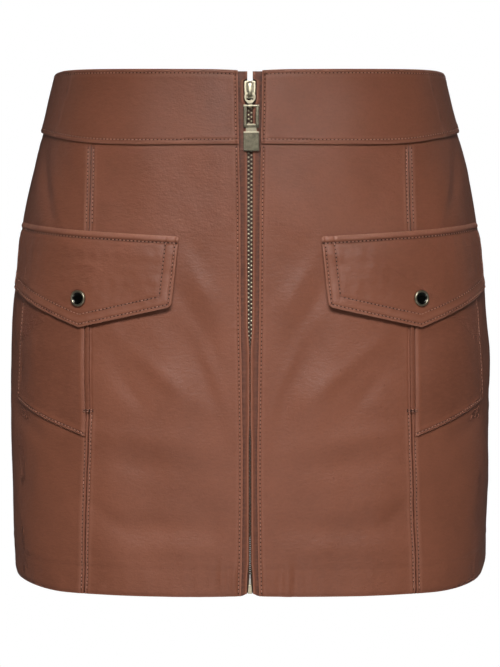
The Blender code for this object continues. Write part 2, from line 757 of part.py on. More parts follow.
def build():
    for old in list(bpy.data.objects):
        bpy.data.objects.remove(old)
    parts = collection(SKIRT)
    cutters = collection("cutters")
    leather = material("tan_leather", (0.20, 0.085, 0.050, 1.0), 0.55, 0.0)
    pocket_leather = material("pocket_leather", (0.17, 0.070, 0.042, 1.0), 0.55, 0.0)
    tape = material("zip_tape_cloth", (0.10, 0.045, 0.028, 1.0), 0.85, 0.0)
    gold = material("light_gold", (0.72, 0.62, 0.42, 1.0), 0.28, 1.0)
    brass = material("dark_brass", (0.27, 0.24, 0.17, 1.0), 0.35, 1.0)
    enamel = material("snap_gunmetal", (0.05, 0.05, 0.045, 1.0), 0.22, 1.0)

    for side, hand in ((-1, "left"), (1, "right")):
        panel(f"front_panel_{hand}", side, 0, PRINCESS_AT, leather, parts)
        panel(f"side_panel_{hand}", side, PRINCESS_AT, SIDE_SEAM_AT, leather, parts)
        panel(f"back_panel_{hand}", side, SIDE_SEAM_AT, CENTRE_BACK_AT, leather, parts)
        waistband_front(f"waistband_front_{hand}", side, leather, parts)
        pocket(f"pocket_{hand}", side, pocket_leather, parts)
        pocket_welt(f"pocket_welt_{hand}", side, leather, parts)
        pocket_flap(f"pocket_flap_{hand}", side, leather, parts)
        snap(f"snap_{hand}", side, enamel, parts)
        zip_lip(f"zip_lip_{hand}", side, leather, parts)
        zip_tape(f"zip_tape_{hand}", side, tape, parts)
    waistband_back("waistband_back", leather, parts)
    zip_chain("zip_chain", gold, parts)
    slider_frame = zip_slider("zip_slider", gold, parts, cutters)
    hinge = pull_link("pull_link", slider_frame, gold, parts, cutters)
    pull_tab("pull_tab", hinge, brass, parts, cutters)
    zip_stop("zip_stop", gold, parts)


build()
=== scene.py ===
"""The looks of a leather mini skirt: its leather, sewing, zip and snaps.

Tables are in millimetres. "drop" is the depth below the front of the waist edge, "across" is
the girth walked round the skirt from the centre front, and a height is counted out from the
face of the panels. "left" and "right" are as seen from the front.
"""
import math
from collections import namedtuple
from functools import cache

import bmesh
import bpy
import numpy as np
from bpy.props import FloatProperty, FloatVectorProperty, PointerProperty
from mathutils import Matrix, Vector


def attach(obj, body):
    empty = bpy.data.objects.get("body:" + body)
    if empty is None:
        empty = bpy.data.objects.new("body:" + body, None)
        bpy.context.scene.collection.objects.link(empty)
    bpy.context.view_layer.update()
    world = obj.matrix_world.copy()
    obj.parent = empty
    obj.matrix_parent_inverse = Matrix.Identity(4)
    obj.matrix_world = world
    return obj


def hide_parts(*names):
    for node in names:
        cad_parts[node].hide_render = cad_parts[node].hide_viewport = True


bl_info = {
    "name": "Leather Mini Skirt",
    "version": (1, 0, 0),
    "blender": (4, 5, 0),
    "location": "View3D > Sidebar > Skirt",
    "description": "Dresses a fitted mini skirt in tan leather with a front zip",
    "category": "Object",
}

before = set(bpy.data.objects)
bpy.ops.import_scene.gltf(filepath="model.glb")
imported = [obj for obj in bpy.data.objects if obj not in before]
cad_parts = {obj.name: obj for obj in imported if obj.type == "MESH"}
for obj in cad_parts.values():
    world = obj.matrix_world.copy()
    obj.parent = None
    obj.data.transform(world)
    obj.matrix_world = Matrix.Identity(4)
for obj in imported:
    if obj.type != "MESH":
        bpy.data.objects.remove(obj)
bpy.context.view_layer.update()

MM = 0.001
WAIST_EDGE = 25.0
SIDES = ((-1, "left"), (1, "right"))
BODY = "skirt"

# ---- the cut, as in the solids ---------------------------------------------------------------

LEATHER_WALL = 1.6
BAND_WALL = 1.8
POCKET_WALL = 1.4
FLAP_WALL = 1.8
LIP_WALL = 1.1
TAPE_WALL = 1.0
WELT_WALL = 1.3
BAND_FACE = 0.3 + BAND_WALL
POCKET_FACE = 0.4 + POCKET_WALL
WELT_FACE = 0.3 + WELT_WALL
LIP_FACE = -LEATHER_WALL - 0.3
TAPE_FACE = LIP_FACE - LIP_WALL - 0.3

Section = namedtuple("Section", "drop half_width front_depth back_depth flat round")
SECTIONS = (
    Section(-5, 139.0, 91.2, 94.0, 2.50, 2.20),
    Section(0, 140.0, 92.0, 95.0, 2.50, 2.20),
    Section(45, 151.9, 98.5, 103.0, 2.60, 2.20),
    Section(84, 162.0, 102.5, 109.5, 2.68, 2.24),
    Section(119, 168.2, 105.2, 114.5, 2.76, 2.28),
    Section(160, 173.3, 107.8, 119.0, 2.84, 2.32),
    Section(208, 177.0, 110.6, 121.0, 2.92, 2.36),
    Section(250, 178.1, 112.6, 119.5, 3.00, 2.40),
    Section(310, 177.0, 114.2, 116.5, 3.00, 2.46),
    Section(376, 174.5, 115.0, 114.0, 3.00, 2.50),
)
Edge = namedtuple("Edge", "across waist seam hem")
EDGES = (
    Edge(0, 1.6, 52.2, 372.6),
    Edge(12, 0.6, 52.4, 373.0),
    Edge(30, 0.0, 52.6, 373.4),
    Edge(110, 0.0, 52.7, 373.6),
    Edge(150, 1.2, 49.4, 373.6),
    Edge(190, 4.4, 46.6, 370.2),
    Edge(235, 5.2, 46.6, 363.0),
    Edge(300, 8.0, 50.0, 364.6),
    Edge(400, 11.0, 54.0, 366.6),
)
Placket = namedtuple("Placket", "drop fold lip")
PLACKET = (
    Placket(1.6, 8.6, 1.9),
    Placket(6.6, 8.5, 1.9),
    Placket(8.0, 8.5, 4.6),
    Placket(22.0, 8.3, 4.6),
    Placket(28.0, 8.2, 1.9),
    Placket(60.0, 7.6, 1.9),
    Placket(95.0, 6.8, 1.9),
    Placket(140.0, 6.6, 1.8),
    Placket(182.0, 6.4, 1.5),
    Placket(198.0, 6.0, 0.3),
    Placket(250.0, 5.3, 0.3),
    Placket(262.0, 5.1, 0.8),
    Placket(300.0, 5.1, 0.8),
    Placket(350.0, 5.7, 0.9),
    Placket(359.0, 6.0, 1.8),
    Placket(371.2, 6.3, 2.1),
)
Seam = namedtuple("Seam", "drop across")
PRINCESS = (
    Seam(0, 117.5),
    Seam(54, 117.2),
    Seam(120, 116.8),
    Seam(240, 116.4),
    Seam(300, 118.6),
    Seam(376, 121.2),
)
SIDE_SEAM_BEHIND = 9.0
LAP = 7.0                    # how far the panels reach up under the waistband
SEAM_OVERLAP = 0.02          # how far neighbouring pieces reach past their seam line

# The folds of the solids, and after them the finer ones that only show here.
Fold = namedtuple("Fold", "across drop half_length half_width lean height")
FOLDS = (
    Fold(36, 212, 42, 11, 24, -1.5),
    Fold(52, 226, 46, 13, 22, 1.3),
    Fold(72, 300, 52, 20, 8, -1.4),
    Fold(84, 88, 30, 14, -12, -1.0),
    Fold(150, 300, 44, 20, -14, -1.8),
    Fold(172, 320, 40, 16, -10, 1.2),
    Fold(256, 84, 30, 15, 30, -1.4),
    Fold(224, 270, 52, 18, 6, -1.5),
    Fold(262, 130, 44, 15, 38, -1.8),
    Fold(285, 175, 46, 14, 44, 1.6),
    Fold(318, 222, 40, 15, 62, -2.2),
    Fold(340, 84, 40, 12, 78, -1.8),
    Fold(352, 104, 36, 11, 82, 1.4),
    Fold(300, 312, 48, 22, 12, -1.6),
    Fold(372, 300, 54, 20, 4, 1.4),
)
CREASES = (
    Fold(31, 156, 28, 6, 31, 1.25),
    Fold(45, 166, 27, 7, 31, -1.6),
    Fold(66, 213, 40, 7, 50, 1.15),
    Fold(26, 214, 30, 5, 24, 0.7),
    Fold(84, 228, 20, 6, 38, -0.8),
    Fold(80, 261, 42, 8, 84, 1.25),
    Fold(72, 279, 42, 8, 88, -0.75),
    Fold(66, 324, 46, 8, 90, -1.35),
    Fold(104, 316, 16, 6, 55, -0.8),
    Fold(60, 341, 46, 7, 90, 0.85),
    Fold(33, 361, 14, 2.4, 5, -0.55),
    Fold(28, 363, 13, 2.3, -3, 0.55),
    Fold(18, 360, 16, 2.4, 3, 1.0),
    Fold(22, 364, 12, 2.3, 4, -0.7),
    Fold(18, 262, 30, 6, 14, -0.4),
    Fold(64, 96, 20, 6, -30, -0.4),
    Fold(100, 82, 14, 4, -52, -0.35),
    Fold(136, 74, 16, 4, 34, -0.4),
    Fold(150, 92, 22, 6, 30, 1.5),
    Fold(163, 82, 26, 8, 28, -1.8),
    Fold(140, 104, 14, 5, 40, -0.8),
    Fold(174, 256, 22, 7, 68, -1.0),
    Fold(170, 282, 24, 6, -20, -0.4),
    Fold(206, 190, 30, 6, 14, -0.5),
    Fold(216, 232, 26, 5, 20, 0.4),
    Fold(248, 96, 20, 4, 60, -0.6),
    Fold(272, 72, 24, 4, 74, -0.6),
    Fold(300, 92, 26, 4, 80, 0.5),
    Fold(326, 68, 30, 4, 84, -0.7),
    Fold(368, 78, 30, 5, 88, -0.5),
    Fold(290, 236, 34, 7, 50, -1.0),
    Fold(304, 250, 36, 7, 50, 0.9),
    Fold(340, 250, 32, 7, 70, 0.8),
    Fold(372, 222, 30, 6, 78, -0.9),
    Fold(352, 176, 34, 7, 62, -0.9),
    Fold(330, 196, 36, 7, 58, 0.8),
    Fold(256, 322, 26, 7, 8, -0.5),
    Fold(336, 330, 28, 8, 6, 0.5),
)
STILL_PLACKET = 24.0         # folds and ripples fade out this near to the centre front
SOFT_RIPPLE_HEIGHT = 0.34
FINE_RIPPLE_HEIGHT = 0.05
PUCKER_HEIGHT = 0.08

Corner = namedtuple("Corner", "across drop")
FLAP = (
    Corner(55.2, 167.0),
    Corner(122.5, 182.8),
    Corner(196.5, 158.8),
    Corner(193.0, 111.0),
    Corner(50.0, 117.6),
)
POCKET = (
    Corner(119.0, 260.6),
    Corner(189.0, 238.4),
    Corner(181.6, 138.0),
    Corner(119.2, 138.0),
)
WELT = (
    Corner(115.0, 242.0),
    Corner(118.3, 242.0),
    Corner(118.3, 150.0),
    Corner(115.0, 150.0),
)
SNAP = Corner(122.2, 162.3)
FlapRise = namedtuple("FlapRise", "below out")
FLAP_RISE = (
    FlapRise(0, 0.5),
    FlapRise(5, 0.9),
    FlapRise(12, 2.15),
    FlapRise(40, 2.3),
    FlapRise(75, 2.9),
)
FLAP_CORNER_LIFT = 1.6
FLAP_CORNER_SIZE = 22.0
DART_TOP = Corner(322.0, 54.0)
DART_FOOT = Corner(326.0, 150.0)

# Zip hardware in the slider's own frame: x to the right, z up along the zip, y into the skirt.
HINGE_DROP = 17.0
LINK_DEPTH = 0.55
LINK_LENGTH = 8.8
TAB_SHIFT = 0.9
CHAIN_TOP = 12.0
CHAIN_BOTTOM = 360.4
TEETH_SHADED = 196.0
TOOTH_NECK = 0.42
STOP_BOTTOM = 371.4

# What shows of each cut piece.
Cut = namedtuple("Cut", "width length area")

# Where the sewing runs, as distances from an edge or a seam.
SEAM_ROW = 2.3
BAND_TOP_ROW = 2.8
BAND_FOOT_ROW = 3.3
PLACKET_ROW = 2.0
FLAP_TOP_ROW = 4.9
FLAP_EDGE_ROW = 2.2
FLAP_SECOND_ROW = 8.8
FLAP_OUTER_ROW = 3.4
POCKET_ROW = 2.0
HEM_TURNING = 23.0
BELOW_POCKET = 262.5
ROW_STEP = 1.5               # distance between the places that lead a row
STITCH_RISE = 0.14
# how much a rim is paled, by rub and by painted highlight
RIM_RUB_AND_HIGHLIGHT = 0.95
# painted shade over the whole pocket, which turns away from the light at the side
POCKET_PAINTED_SHADE = 0.08


# ---- what a user may change ------------------------------------------------------------------

def colour_setting(name, description, default):
    return FloatVectorProperty(
        name=name, description=description, default=default, size=3, subtype="COLOR", min=0, max=1)


def length_setting(name, description, default):
    return FloatProperty(
        name=name, description=description, default=default, unit="LENGTH", subtype="DISTANCE",
        min=0.0)


def power_setting(name, description, default):
    return FloatProperty(
        name=name, description=description, default=default, unit="POWER", min=0)


class SkirtLeatherSettings(bpy.types.PropertyGroup):
    face: colour_setting("Face", "Colour of the leather's grain side", (0.226, 0.076, 0.041))
    # the paler colour of rims and puffs: part rub, part painted highlight
    rub_highlight_colour: colour_setting("Rubbed edge", "Colour where edges are rubbed", (0.40, 0.175, 0.115))
    # painted shade: the colour laid into seam dips, stitch lines, the lips' grooves and the needle
    # holes
    seam_shade_colour: colour_setting("Crease", "Colour down in seams and stitch lines", (0.075, 0.023, 0.013))
    flesh: colour_setting("Flesh side", "Colour of the leather's inside", (0.30, 0.165, 0.105))
    grain: length_setting("Grain", "Size of the leather's pebbles", 0.0011)
    roughness: FloatProperty(
        name="Roughness", description="How dull the leather is", default=0.50, min=0, max=1,
        subtype="FACTOR")


class SkirtSewingSettings(bpy.types.PropertyGroup):
    pitch: length_setting("Pitch", "Distance from stitch to stitch", 0.0028)
    length: length_setting("Stitch", "Length of thread that shows in a stitch", 0.0021)
    width: length_setting("Thread", "Width of the thread", 0.00074)
    thread: colour_setting("Thread", "Colour of the thread", (0.37, 0.17, 0.115))


class SkirtZipSettings(bpy.types.PropertyGroup):
    tooth_pitch: length_setting("Tooth pitch", "Distance between teeth on one side", 0.0030)
    gold: colour_setting("Light gold", "Colour of the slider, link and stop", (0.40, 0.355, 0.255))
    brass: colour_setting("Dark brass", "Colour of the pull tab", (0.105, 0.094, 0.066))
    tape: colour_setting("Tape", "Colour of the woven zip tape", (0.060, 0.030, 0.020))


class SkirtStageSettings(bpy.types.PropertyGroup):
    key_power: power_setting("Key light", "Power of the light high in front", 2.12)
    low_power: power_setting("Low light", "Power of the light low in front", 0.38)
    back_power: power_setting("Back light", "Power of the light behind", 30.0)
    fill_power: power_setting("Fill lights", "Power of each light at the sides", 1.7)
    ambient: FloatProperty(
        name="Ambient", description="Strength of the pale room's own light", default=0.055, min=0)
    floor_drop: length_setting("Floor", "Depth of the floor below the origin", 0.95)
    camera_distance: length_setting("Camera", "Distance of the camera in front", 2.2)
    camera_lens: FloatProperty(
        name="Lens", description="Focal length of the camera", default=160.46, unit="CAMERA")
    camera_tilt: FloatProperty(
        name="Tilt", description="How far the camera looks down", default=math.radians(5.084),
        subtype="ANGLE", unit="ROTATION")


# ---- the worn form -----------------------------------------------------------------------------

def smooth_reader(rows, key):
    """A function that reads a table column on a smooth curve, for numbers or arrays."""
    xs = np.array([row[0] for row in rows], float)
    ys = np.array([getattr(row, key) for row in rows], float)
    low = np.maximum(np.arange(len(xs)) - 1, 0)
    high = np.minimum(np.arange(len(xs)) + 1, len(xs) - 1)
    slopes = (ys[high] - ys[low]) / (xs[high] - xs[low])

    def read(at):
        at = np.clip(at, xs[0], xs[-1])
        k = np.clip(np.searchsorted(xs, at, side="right") - 1, 0, len(xs) - 2)
        step = xs[k + 1] - xs[k]
        t = (at - xs[k]) / step
        body = ys[k] * (2 * t**3 - 3 * t**2 + 1) + ys[k + 1] * (3 * t**2 - 2 * t**3)
        return body + step * (slopes[k] * (t**3 - 2 * t**2 + t) + slopes[k + 1] * (t**3 - t**2))

    return read


def straight_reader(rows, key):
    """A function that reads a table column on straight lines."""
    xs = [row[0] for row in rows]
    ys = [getattr(row, key) for row in rows]
    return lambda at: np.interp(at, xs, ys)


waist_at = smooth_reader(EDGES, "waist")
seam_at = smooth_reader(EDGES, "seam")
hem_at = smooth_reader(EDGES, "hem")
princess_at = smooth_reader(PRINCESS, "across")
fold_edge_at = straight_reader(PLACKET, "fold")
lip_edge_at = straight_reader(PLACKET, "lip")
flap_rise_at = straight_reader(FLAP_RISE, "out")


class WornForm:
    """The right-hand half of the skirt's face, as a fine table of level sections."""

    SAMPLES = 900

    def __init__(self):
        self.drops = np.arange(-8.0, 383.0, 1.0)
        readers = [smooth_reader(SECTIONS, key) for key in Section._fields[1:]]
        turn = np.linspace(0.0, math.pi / 2, 500)
        self.shares = np.linspace(0.0, 1.0, self.SAMPLES)
        self.girths, self.sides, xs, ys = [], [], [], []
        for drop in self.drops:
            width, front, back, flat, round_ = (float(read(drop)) for read in readers)
            x = width * np.sin(turn) ** (2 / flat)
            y = np.cos(turn) ** (2 / round_)
            line_x = np.concatenate([x, x[-2::-1]])
            line_y = np.concatenate([-front * y, back * y[-2::-1]])
            steps = np.hypot(np.diff(line_x), np.diff(line_y))
            girth = np.concatenate([[0.0], np.cumsum(steps)])
            self.girths.append(girth[-1])
            self.sides.append(girth[len(turn) - 1])
            xs.append(np.interp(self.shares * girth[-1], girth, line_x))
            ys.append(np.interp(self.shares * girth[-1], girth, line_y))
        self.x, self.y = np.array(xs), np.array(ys)
        along_x = np.gradient(self.x, axis=1)
        along_y = np.gradient(self.y, axis=1)
        size = np.hypot(along_x, along_y)
        self.normal_x, self.normal_y = along_y / size, -along_x / size

    def girth(self, drop):
        return np.interp(drop, self.drops, self.girths)

    def side(self, drop):
        return np.interp(drop, self.drops, self.sides)

    def side_seam(self, drop):
        return self.side(drop) + SIDE_SEAM_BEHIND

    def point(self, across, drop, height):
        """Points in metres, as an array of rows."""
        across, drop, height = np.broadcast_arrays(
            *(np.asarray(v, float) for v in (across, drop, height)))
        row = np.clip((drop - self.drops[0]), 0, len(self.drops) - 1.001)
        low_row = row.astype(int)
        v = row - low_row
        share = np.abs(across) / self.girth(drop) * (self.SAMPLES - 1)
        column = np.clip(share, 0, self.SAMPLES - 1.001)
        low = column.astype(int)
        u = column - low

        def read(table):
            near = table[low_row, low] * (1 - u) + table[low_row, low + 1] * u
            far = table[low_row + 1, low] * (1 - u) + table[low_row + 1, low + 1] * u
            return near * (1 - v) + far * v

        mirror = np.where(across < 0, -1.0, 1.0)
        x = read(self.x) + read(self.normal_x) * height
        y = read(self.y) + read(self.normal_y) * height
        return np.stack([x * mirror, y, WAIST_EDGE - drop], axis=-1) * MM


FORM = WornForm()


def way_out(across, drop, height, reach):
    """The way out from the skirt, from its steps round and up over so many millimetres."""
    around = FORM.point(across + reach, drop, height) - FORM.point(across - reach, drop, height)
    rise = FORM.point(across, drop - reach, height) - FORM.point(across, drop + reach, height)
    return np.cross(around, rise)


def fold_sum(rows, across, drop):
    """The height that a table of folds gives at each place."""
    height = np.zeros(np.broadcast(across, drop).shape)
    for fold in rows:
        lean = math.radians(fold.lean)
        aside = across - fold.across
        above = fold.drop - drop
        along = (aside * math.sin(lean) + above * math.cos(lean)) / fold.half_length
        over = (aside * math.cos(lean) - above * math.sin(lean)) / fold.half_width
        height += fold.height * np.exp(-along * along - over * over)
    return height


class Ripple:
    """Soft uneven waves that never repeat over the skirt."""

    def __init__(self, seed, shortest, longest, count=14):
        draw = np.random.default_rng(seed)
        lengths = draw.uniform(shortest, longest, count)
        angles = draw.uniform(0, math.pi, count)
        self.kx = 2 * math.pi / lengths * np.cos(angles)
        self.ky = 2 * math.pi / lengths * np.sin(angles)
        self.phase = draw.uniform(0, 2 * math.pi, count)
        self.scale = math.sqrt(2 / count)

    def __call__(self, across, drop):
        total = np.zeros(np.broadcast(across, drop).shape)
        for kx, ky, phase in zip(self.kx, self.ky, self.phase):
            total += np.sin(kx * across + ky * drop + phase)
        return total * self.scale


SOFT_RIPPLE = Ripple(3, 38, 110)
FINE_RIPPLE = Ripple(5, 13, 30)
SEAM_PUCKER = Ripple(7, 6, 13)


def bump(distance, width):
    """A soft bump of height 1 at distance 0."""
    return np.exp(-(distance / width) ** 2)


def ease(value, low, high):
    """0 below low, 1 above high, and a smooth rise between."""
    t = np.clip((value - low) / (high - low), 0.0, 1.0)
    return t * t * (3 - 2 * t)


def cloth_height(across, drop, side):
    """Folds and ripples that every layer follows. The two sides ripple differently."""
    still = np.minimum(1.0, (across / STILL_PLACKET) ** 2)
    height = fold_sum(FOLDS, across, drop) + fold_sum(CREASES, across, drop)
    height = height + SOFT_RIPPLE_HEIGHT * SOFT_RIPPLE(across * side, drop)
    fine = FINE_RIPPLE(across * side, drop) * ease(drop, 30, 70)
    height = height + FINE_RIPPLE_HEIGHT * fine
    return height * still


def seam_profile(distance, row=SEAM_ROW, depth=1.0):
    """The dip of a sewn seam, the puff beside it and the line pressed by its stitches."""
    away = np.abs(distance)
    return depth * (-0.66 * bump(away, 0.60) + 0.42 * bump(away - 1.2, 0.6)
                    - 0.28 * bump(away - row, 0.42) + 0.30 * bump(away - row - 1.7, 1.5))


def edge_profile(distance, row, depth=1.0):
    """A turned edge: rolled at its rim, and pressed down along its stitches."""
    return depth * (-0.30 * bump(distance, 0.9) + 0.22 * bump(distance - row * 0.5, row * 0.3)
                    - 0.28 * bump(distance - row, 0.45) + 0.18 * bump(distance - row - 1.9, 1.6))


def rim_rub_and_highlight(distance):
    """How much paler a turned edge is at its very rim: part rub, part painted highlight on its
    roll.
    """
    return RIM_RUB_AND_HIGHLIGHT * bump(distance, 0.8)


def dart_distance(across, drop):
    """Distance to the back dart, and how much of it is left there."""
    share = (drop - DART_TOP.drop) / (DART_FOOT.drop - DART_TOP.drop)
    line = DART_TOP.across + (DART_FOOT.across - DART_TOP.across) * share
    return across - line, 1.0 - ease(share, 0.75, 1.0)


def near_seam_edge(across, drop):
    """1 on the open part of a panel, 0 where it goes up under the waistband."""
    return ease(drop, seam_at(across) + 0.5, seam_at(across) + 4.0)


def panel_seams(across, drop):
    """The dips and puffs of the panels' sewing, and the rolled edges."""
    pocket_mouth = ease(drop, 150, 160) * (1 - ease(drop, 238, 246))
    relief = edge_profile(across - fold_edge_at(drop), PLACKET_ROW)
    for line, depth in ((princess_at(drop), 1.0 - 0.5 * pocket_mouth), (FORM.side_seam(drop), 1.0),
                        (FORM.girth(drop), 1.0)):
        relief += seam_profile(across - line, depth=depth)
    aside, left = dart_distance(across, drop)
    relief += left * (-0.60 * bump(aside, 1.5) + 0.25 * bump(np.abs(aside) - 3.2, 1.6))
    relief += -0.35 * bump(hem_at(across) - drop, 1.6)
    return relief * near_seam_edge(across, drop)


def panel_shading(across, drop):
    """The sewing's relief again, as painted shade in its dips and painted highlight on its puffs,
    with paler edges (part rub, part painted highlight) and a painted highlight on the hem's ridge.
    """
    rub_and_highlight = rim_rub_and_highlight(across - fold_edge_at(drop)) + 0.8 * rim_rub_and_highlight(hem_at(across) - drop)
    ridge = 0.05 * bump(hem_at(across) - drop - HEM_TURNING, 1.4)
    return panel_seams(across, drop) + (rub_and_highlight + ridge) * near_seam_edge(across, drop)


def panel_height(across, drop, side):
    """The face of a panel, with puckers at its seams and the ridge and waves of its hem."""
    pucker = SEAM_PUCKER(across * side, drop)
    ripple = np.zeros(np.broadcast(across, drop).shape)
    for line in (princess_at(drop), FORM.side_seam(drop), FORM.girth(drop)):
        ripple += PUCKER_HEIGHT * pucker * bump(np.abs(across - line) - 3.0, 3.5)
    ripple += 0.06 * pucker * bump(across - fold_edge_at(drop) - 4.0, 3.0)
    up = hem_at(across) - drop
    ripple += 0.26 * bump(up - HEM_TURNING, 1.4) - 0.16 * bump(up - HEM_TURNING + 3.2, 2.2)
    wave = np.sin(across * 0.60 + 1.6 * np.sin(across * 0.13 + side))
    ripple += (0.08 + 0.60 * bump(across - 20, 18)) * bump(up - 11, 12) * wave
    ripple += 0.12 * bump(up - 3.5, 2.2)
    ripple = ripple * near_seam_edge(across, drop)
    return cloth_height(across, drop, side) + panel_seams(across, drop) + ripple


def band_seams(across, drop):
    """What sewing does to the waistband's face."""
    top = drop - waist_at(across)
    foot = seam_at(across) - drop
    relief = edge_profile(top, BAND_TOP_ROW) + edge_profile(foot, BAND_FOOT_ROW)
    relief += edge_profile(across - fold_edge_at(drop), PLACKET_ROW)
    return relief + seam_profile(across - FORM.side_seam(drop), row=60.0)


def band_shading(across, drop):
    # painted shade in the sewing's dips, painted highlight on its puffs, and rims paled by rub and
    # painted highlight
    rub_and_highlight = 0.8 * rim_rub_and_highlight(drop - waist_at(across)) + rim_rub_and_highlight(seam_at(across) - drop)
    return band_seams(across, drop) + rub_and_highlight + rim_rub_and_highlight(across - fold_edge_at(drop))


def band_height(across, drop, side):
    top = drop - waist_at(across)
    foot = seam_at(across) - drop
    pucker = 0.07 * SEAM_PUCKER(across * side, drop) * (bump(foot - 4, 4) + bump(top - 3, 3))
    return BAND_FACE + cloth_height(across, drop, side) + band_seams(across, drop) + pucker


def line_distance(start, end, across, drop):
    """Distance inside the line from start to end, with the piece on its left."""
    along_x, along_y = end.across - start.across, start.drop - end.drop
    size = math.hypot(along_x, along_y)
    return ((start.drop - drop) * along_x - (across - start.across) * along_y) / size


def flap_distances(across, drop):
    """Distances from the flap's edges: lower inner, lower outer, outer, top and inner."""
    return [line_distance(FLAP[k], FLAP[(k + 1) % 5], across, drop) for k in range(5)]


def flap_seams(across, drop):
    """The flap's rolled top, turned edges and the lines pressed by its stitches."""
    low_in, low_out, outer, top, inner = flap_distances(across, drop)
    loose = np.minimum(np.minimum(low_in, low_out), inner)
    relief = edge_profile(loose, FLAP_EDGE_ROW) + edge_profile(outer, FLAP_OUTER_ROW)
    relief += 0.16 * bump(loose - 5.6, 1.8) + 0.14 * bump(loose - 11.5, 1.8)
    relief -= 0.26 * bump(loose - FLAP_SECOND_ROW, 0.5)
    return relief + 0.45 * bump(top - 2.2, 1.5) - 0.62 * bump(top - FLAP_TOP_ROW, 0.8)


def flap_shading(across, drop):
    # painted shade in the sewing's dips, painted highlight on its puffs, and rims paled by rub and
    # painted highlight
    nearest = np.minimum.reduce(flap_distances(across, drop))
    return flap_seams(across, drop) + rim_rub_and_highlight(nearest)


def flap_height(across, drop, side):
    top = flap_distances(across, drop)[3]
    reach = np.hypot(across - FLAP[0].across, drop - FLAP[0].drop) / FLAP_CORNER_SIZE
    height = flap_rise_at(top) + FLAP_CORNER_LIFT * np.exp(-reach * reach) + FLAP_WALL
    height = height + 0.3 * bump(top - 2.4, 1.7) + 0.2 * bump(top - 7.4, 1.8)
    snap = np.hypot(across - SNAP.across, drop - SNAP.drop)
    height = height - 0.45 * bump(snap, 7.5) + PUCKER_HEIGHT * SEAM_PUCKER(across * side, drop)
    return height + cloth_height(across, drop, side) + flap_seams(across, drop)


def pocket_rims(across, drop):
    """Distances from the pocket's two sewn edges, the nearer one, and from its opening."""
    bottom = line_distance(POCKET[0], POCKET[1], across, drop)
    outer = line_distance(POCKET[1], POCKET[2], across, drop)
    return np.minimum(bottom, outer), line_distance(POCKET[3], POCKET[0], across, drop)


def pocket_seams(across, drop):
    rim, inner = pocket_rims(across, drop)
    turned = -0.35 * bump(inner, 1.2) + 0.3 * bump(inner - 2.2, 1.3)
    return edge_profile(rim, POCKET_ROW) + turned - 0.05


def pocket_shading(across, drop):
    # the pocket's sewing as painted shade and highlight, its rims paler, and the whole pocket
    # darker by painted shade
    rim, inner = pocket_rims(across, drop)
    return pocket_seams(across, drop) + rim_rub_and_highlight(np.minimum(rim, inner)) - POCKET_PAINTED_SHADE


def pocket_height(across, drop, side):
    rim, inner = pocket_rims(across, drop)
    below_flap = ease(drop, 184, 204)
    full = below_flap * np.clip(rim / 22, 0, 1) * np.clip((inner + 6) / 20, 0, 1)
    height = POCKET_FACE + 0.9 * ease(full, 0, 1)
    height = height + PUCKER_HEIGHT * SEAM_PUCKER(across * side, drop) * bump(rim - 4, 4)
    return height + cloth_height(across, drop, side) + pocket_seams(across, drop)


# ---- meshes ------------------------------------------------------------------------------------

RIM_LINES = (0.0, 0.7, 1.2, 1.7, 2.1, 2.5, 3.0, 3.7, 4.8, 6.4)


def spread(length, step, start=RIM_LINES, end=RIM_LINES):
    """Places from 0 to length, close together at each rim and a step apart between."""
    head = list(start)
    tail = [length - place for place in end][::-1]
    inner = tail[0] - head[-1]
    count = max(1, round(inner / step))
    middle = [head[-1] + inner * k / count for k in range(1, count)]
    return np.array(head + middle + tail)


def grid_mesh(name, columns, rows, side):
    """A flat grid from create_grid, with each vertex at (column number, row number)."""
    bm = bmesh.new()
    bmesh.ops.create_grid(bm, x_segments=columns - 1, y_segments=rows - 1, size=0.5)
    if side < 0:
        bmesh.ops.reverse_faces(bm, faces=bm.faces)
    mesh = bpy.data.meshes.new(name)
    bm.to_mesh(mesh)
    bm.free()
    flat = np.empty(len(mesh.vertices) * 3)
    mesh.vertices.foreach_get("co", flat)
    flat = flat.reshape(-1, 3)
    column = np.rint((flat[:, 0] + 0.5) * (columns - 1)).astype(int)
    row = np.rint((flat[:, 1] + 0.5) * (rows - 1)).astype(int)
    return mesh, column, row


def add_object(name, mesh, materials, sharp=40.0):
    for finish in materials:
        mesh.materials.append(finish)
    mesh.shade_smooth()
    mesh.set_sharp_from_angle(angle=math.radians(sharp))
    made = bpy.data.objects.new(name, mesh)
    bpy.context.scene.collection.objects.link(made)
    return made


def shell(made, wall, rim):
    """Give a cloth face its wall, an inside of its own material and a rounded rim."""
    solid = made.modifiers.new("wall", "SOLIDIFY")
    solid.thickness = wall * MM
    solid.offset = -1.0
    solid.material_offset = 1
    rounded = made.modifiers.new("rim", "BEVEL")
    rounded.width = rim * MM
    rounded.segments = 3
    rounded.limit_method = "ANGLE"
    rounded.angle_limit = math.radians(62)
    rounded.use_clamp_overlap = True
    rounded.harden_normals = False


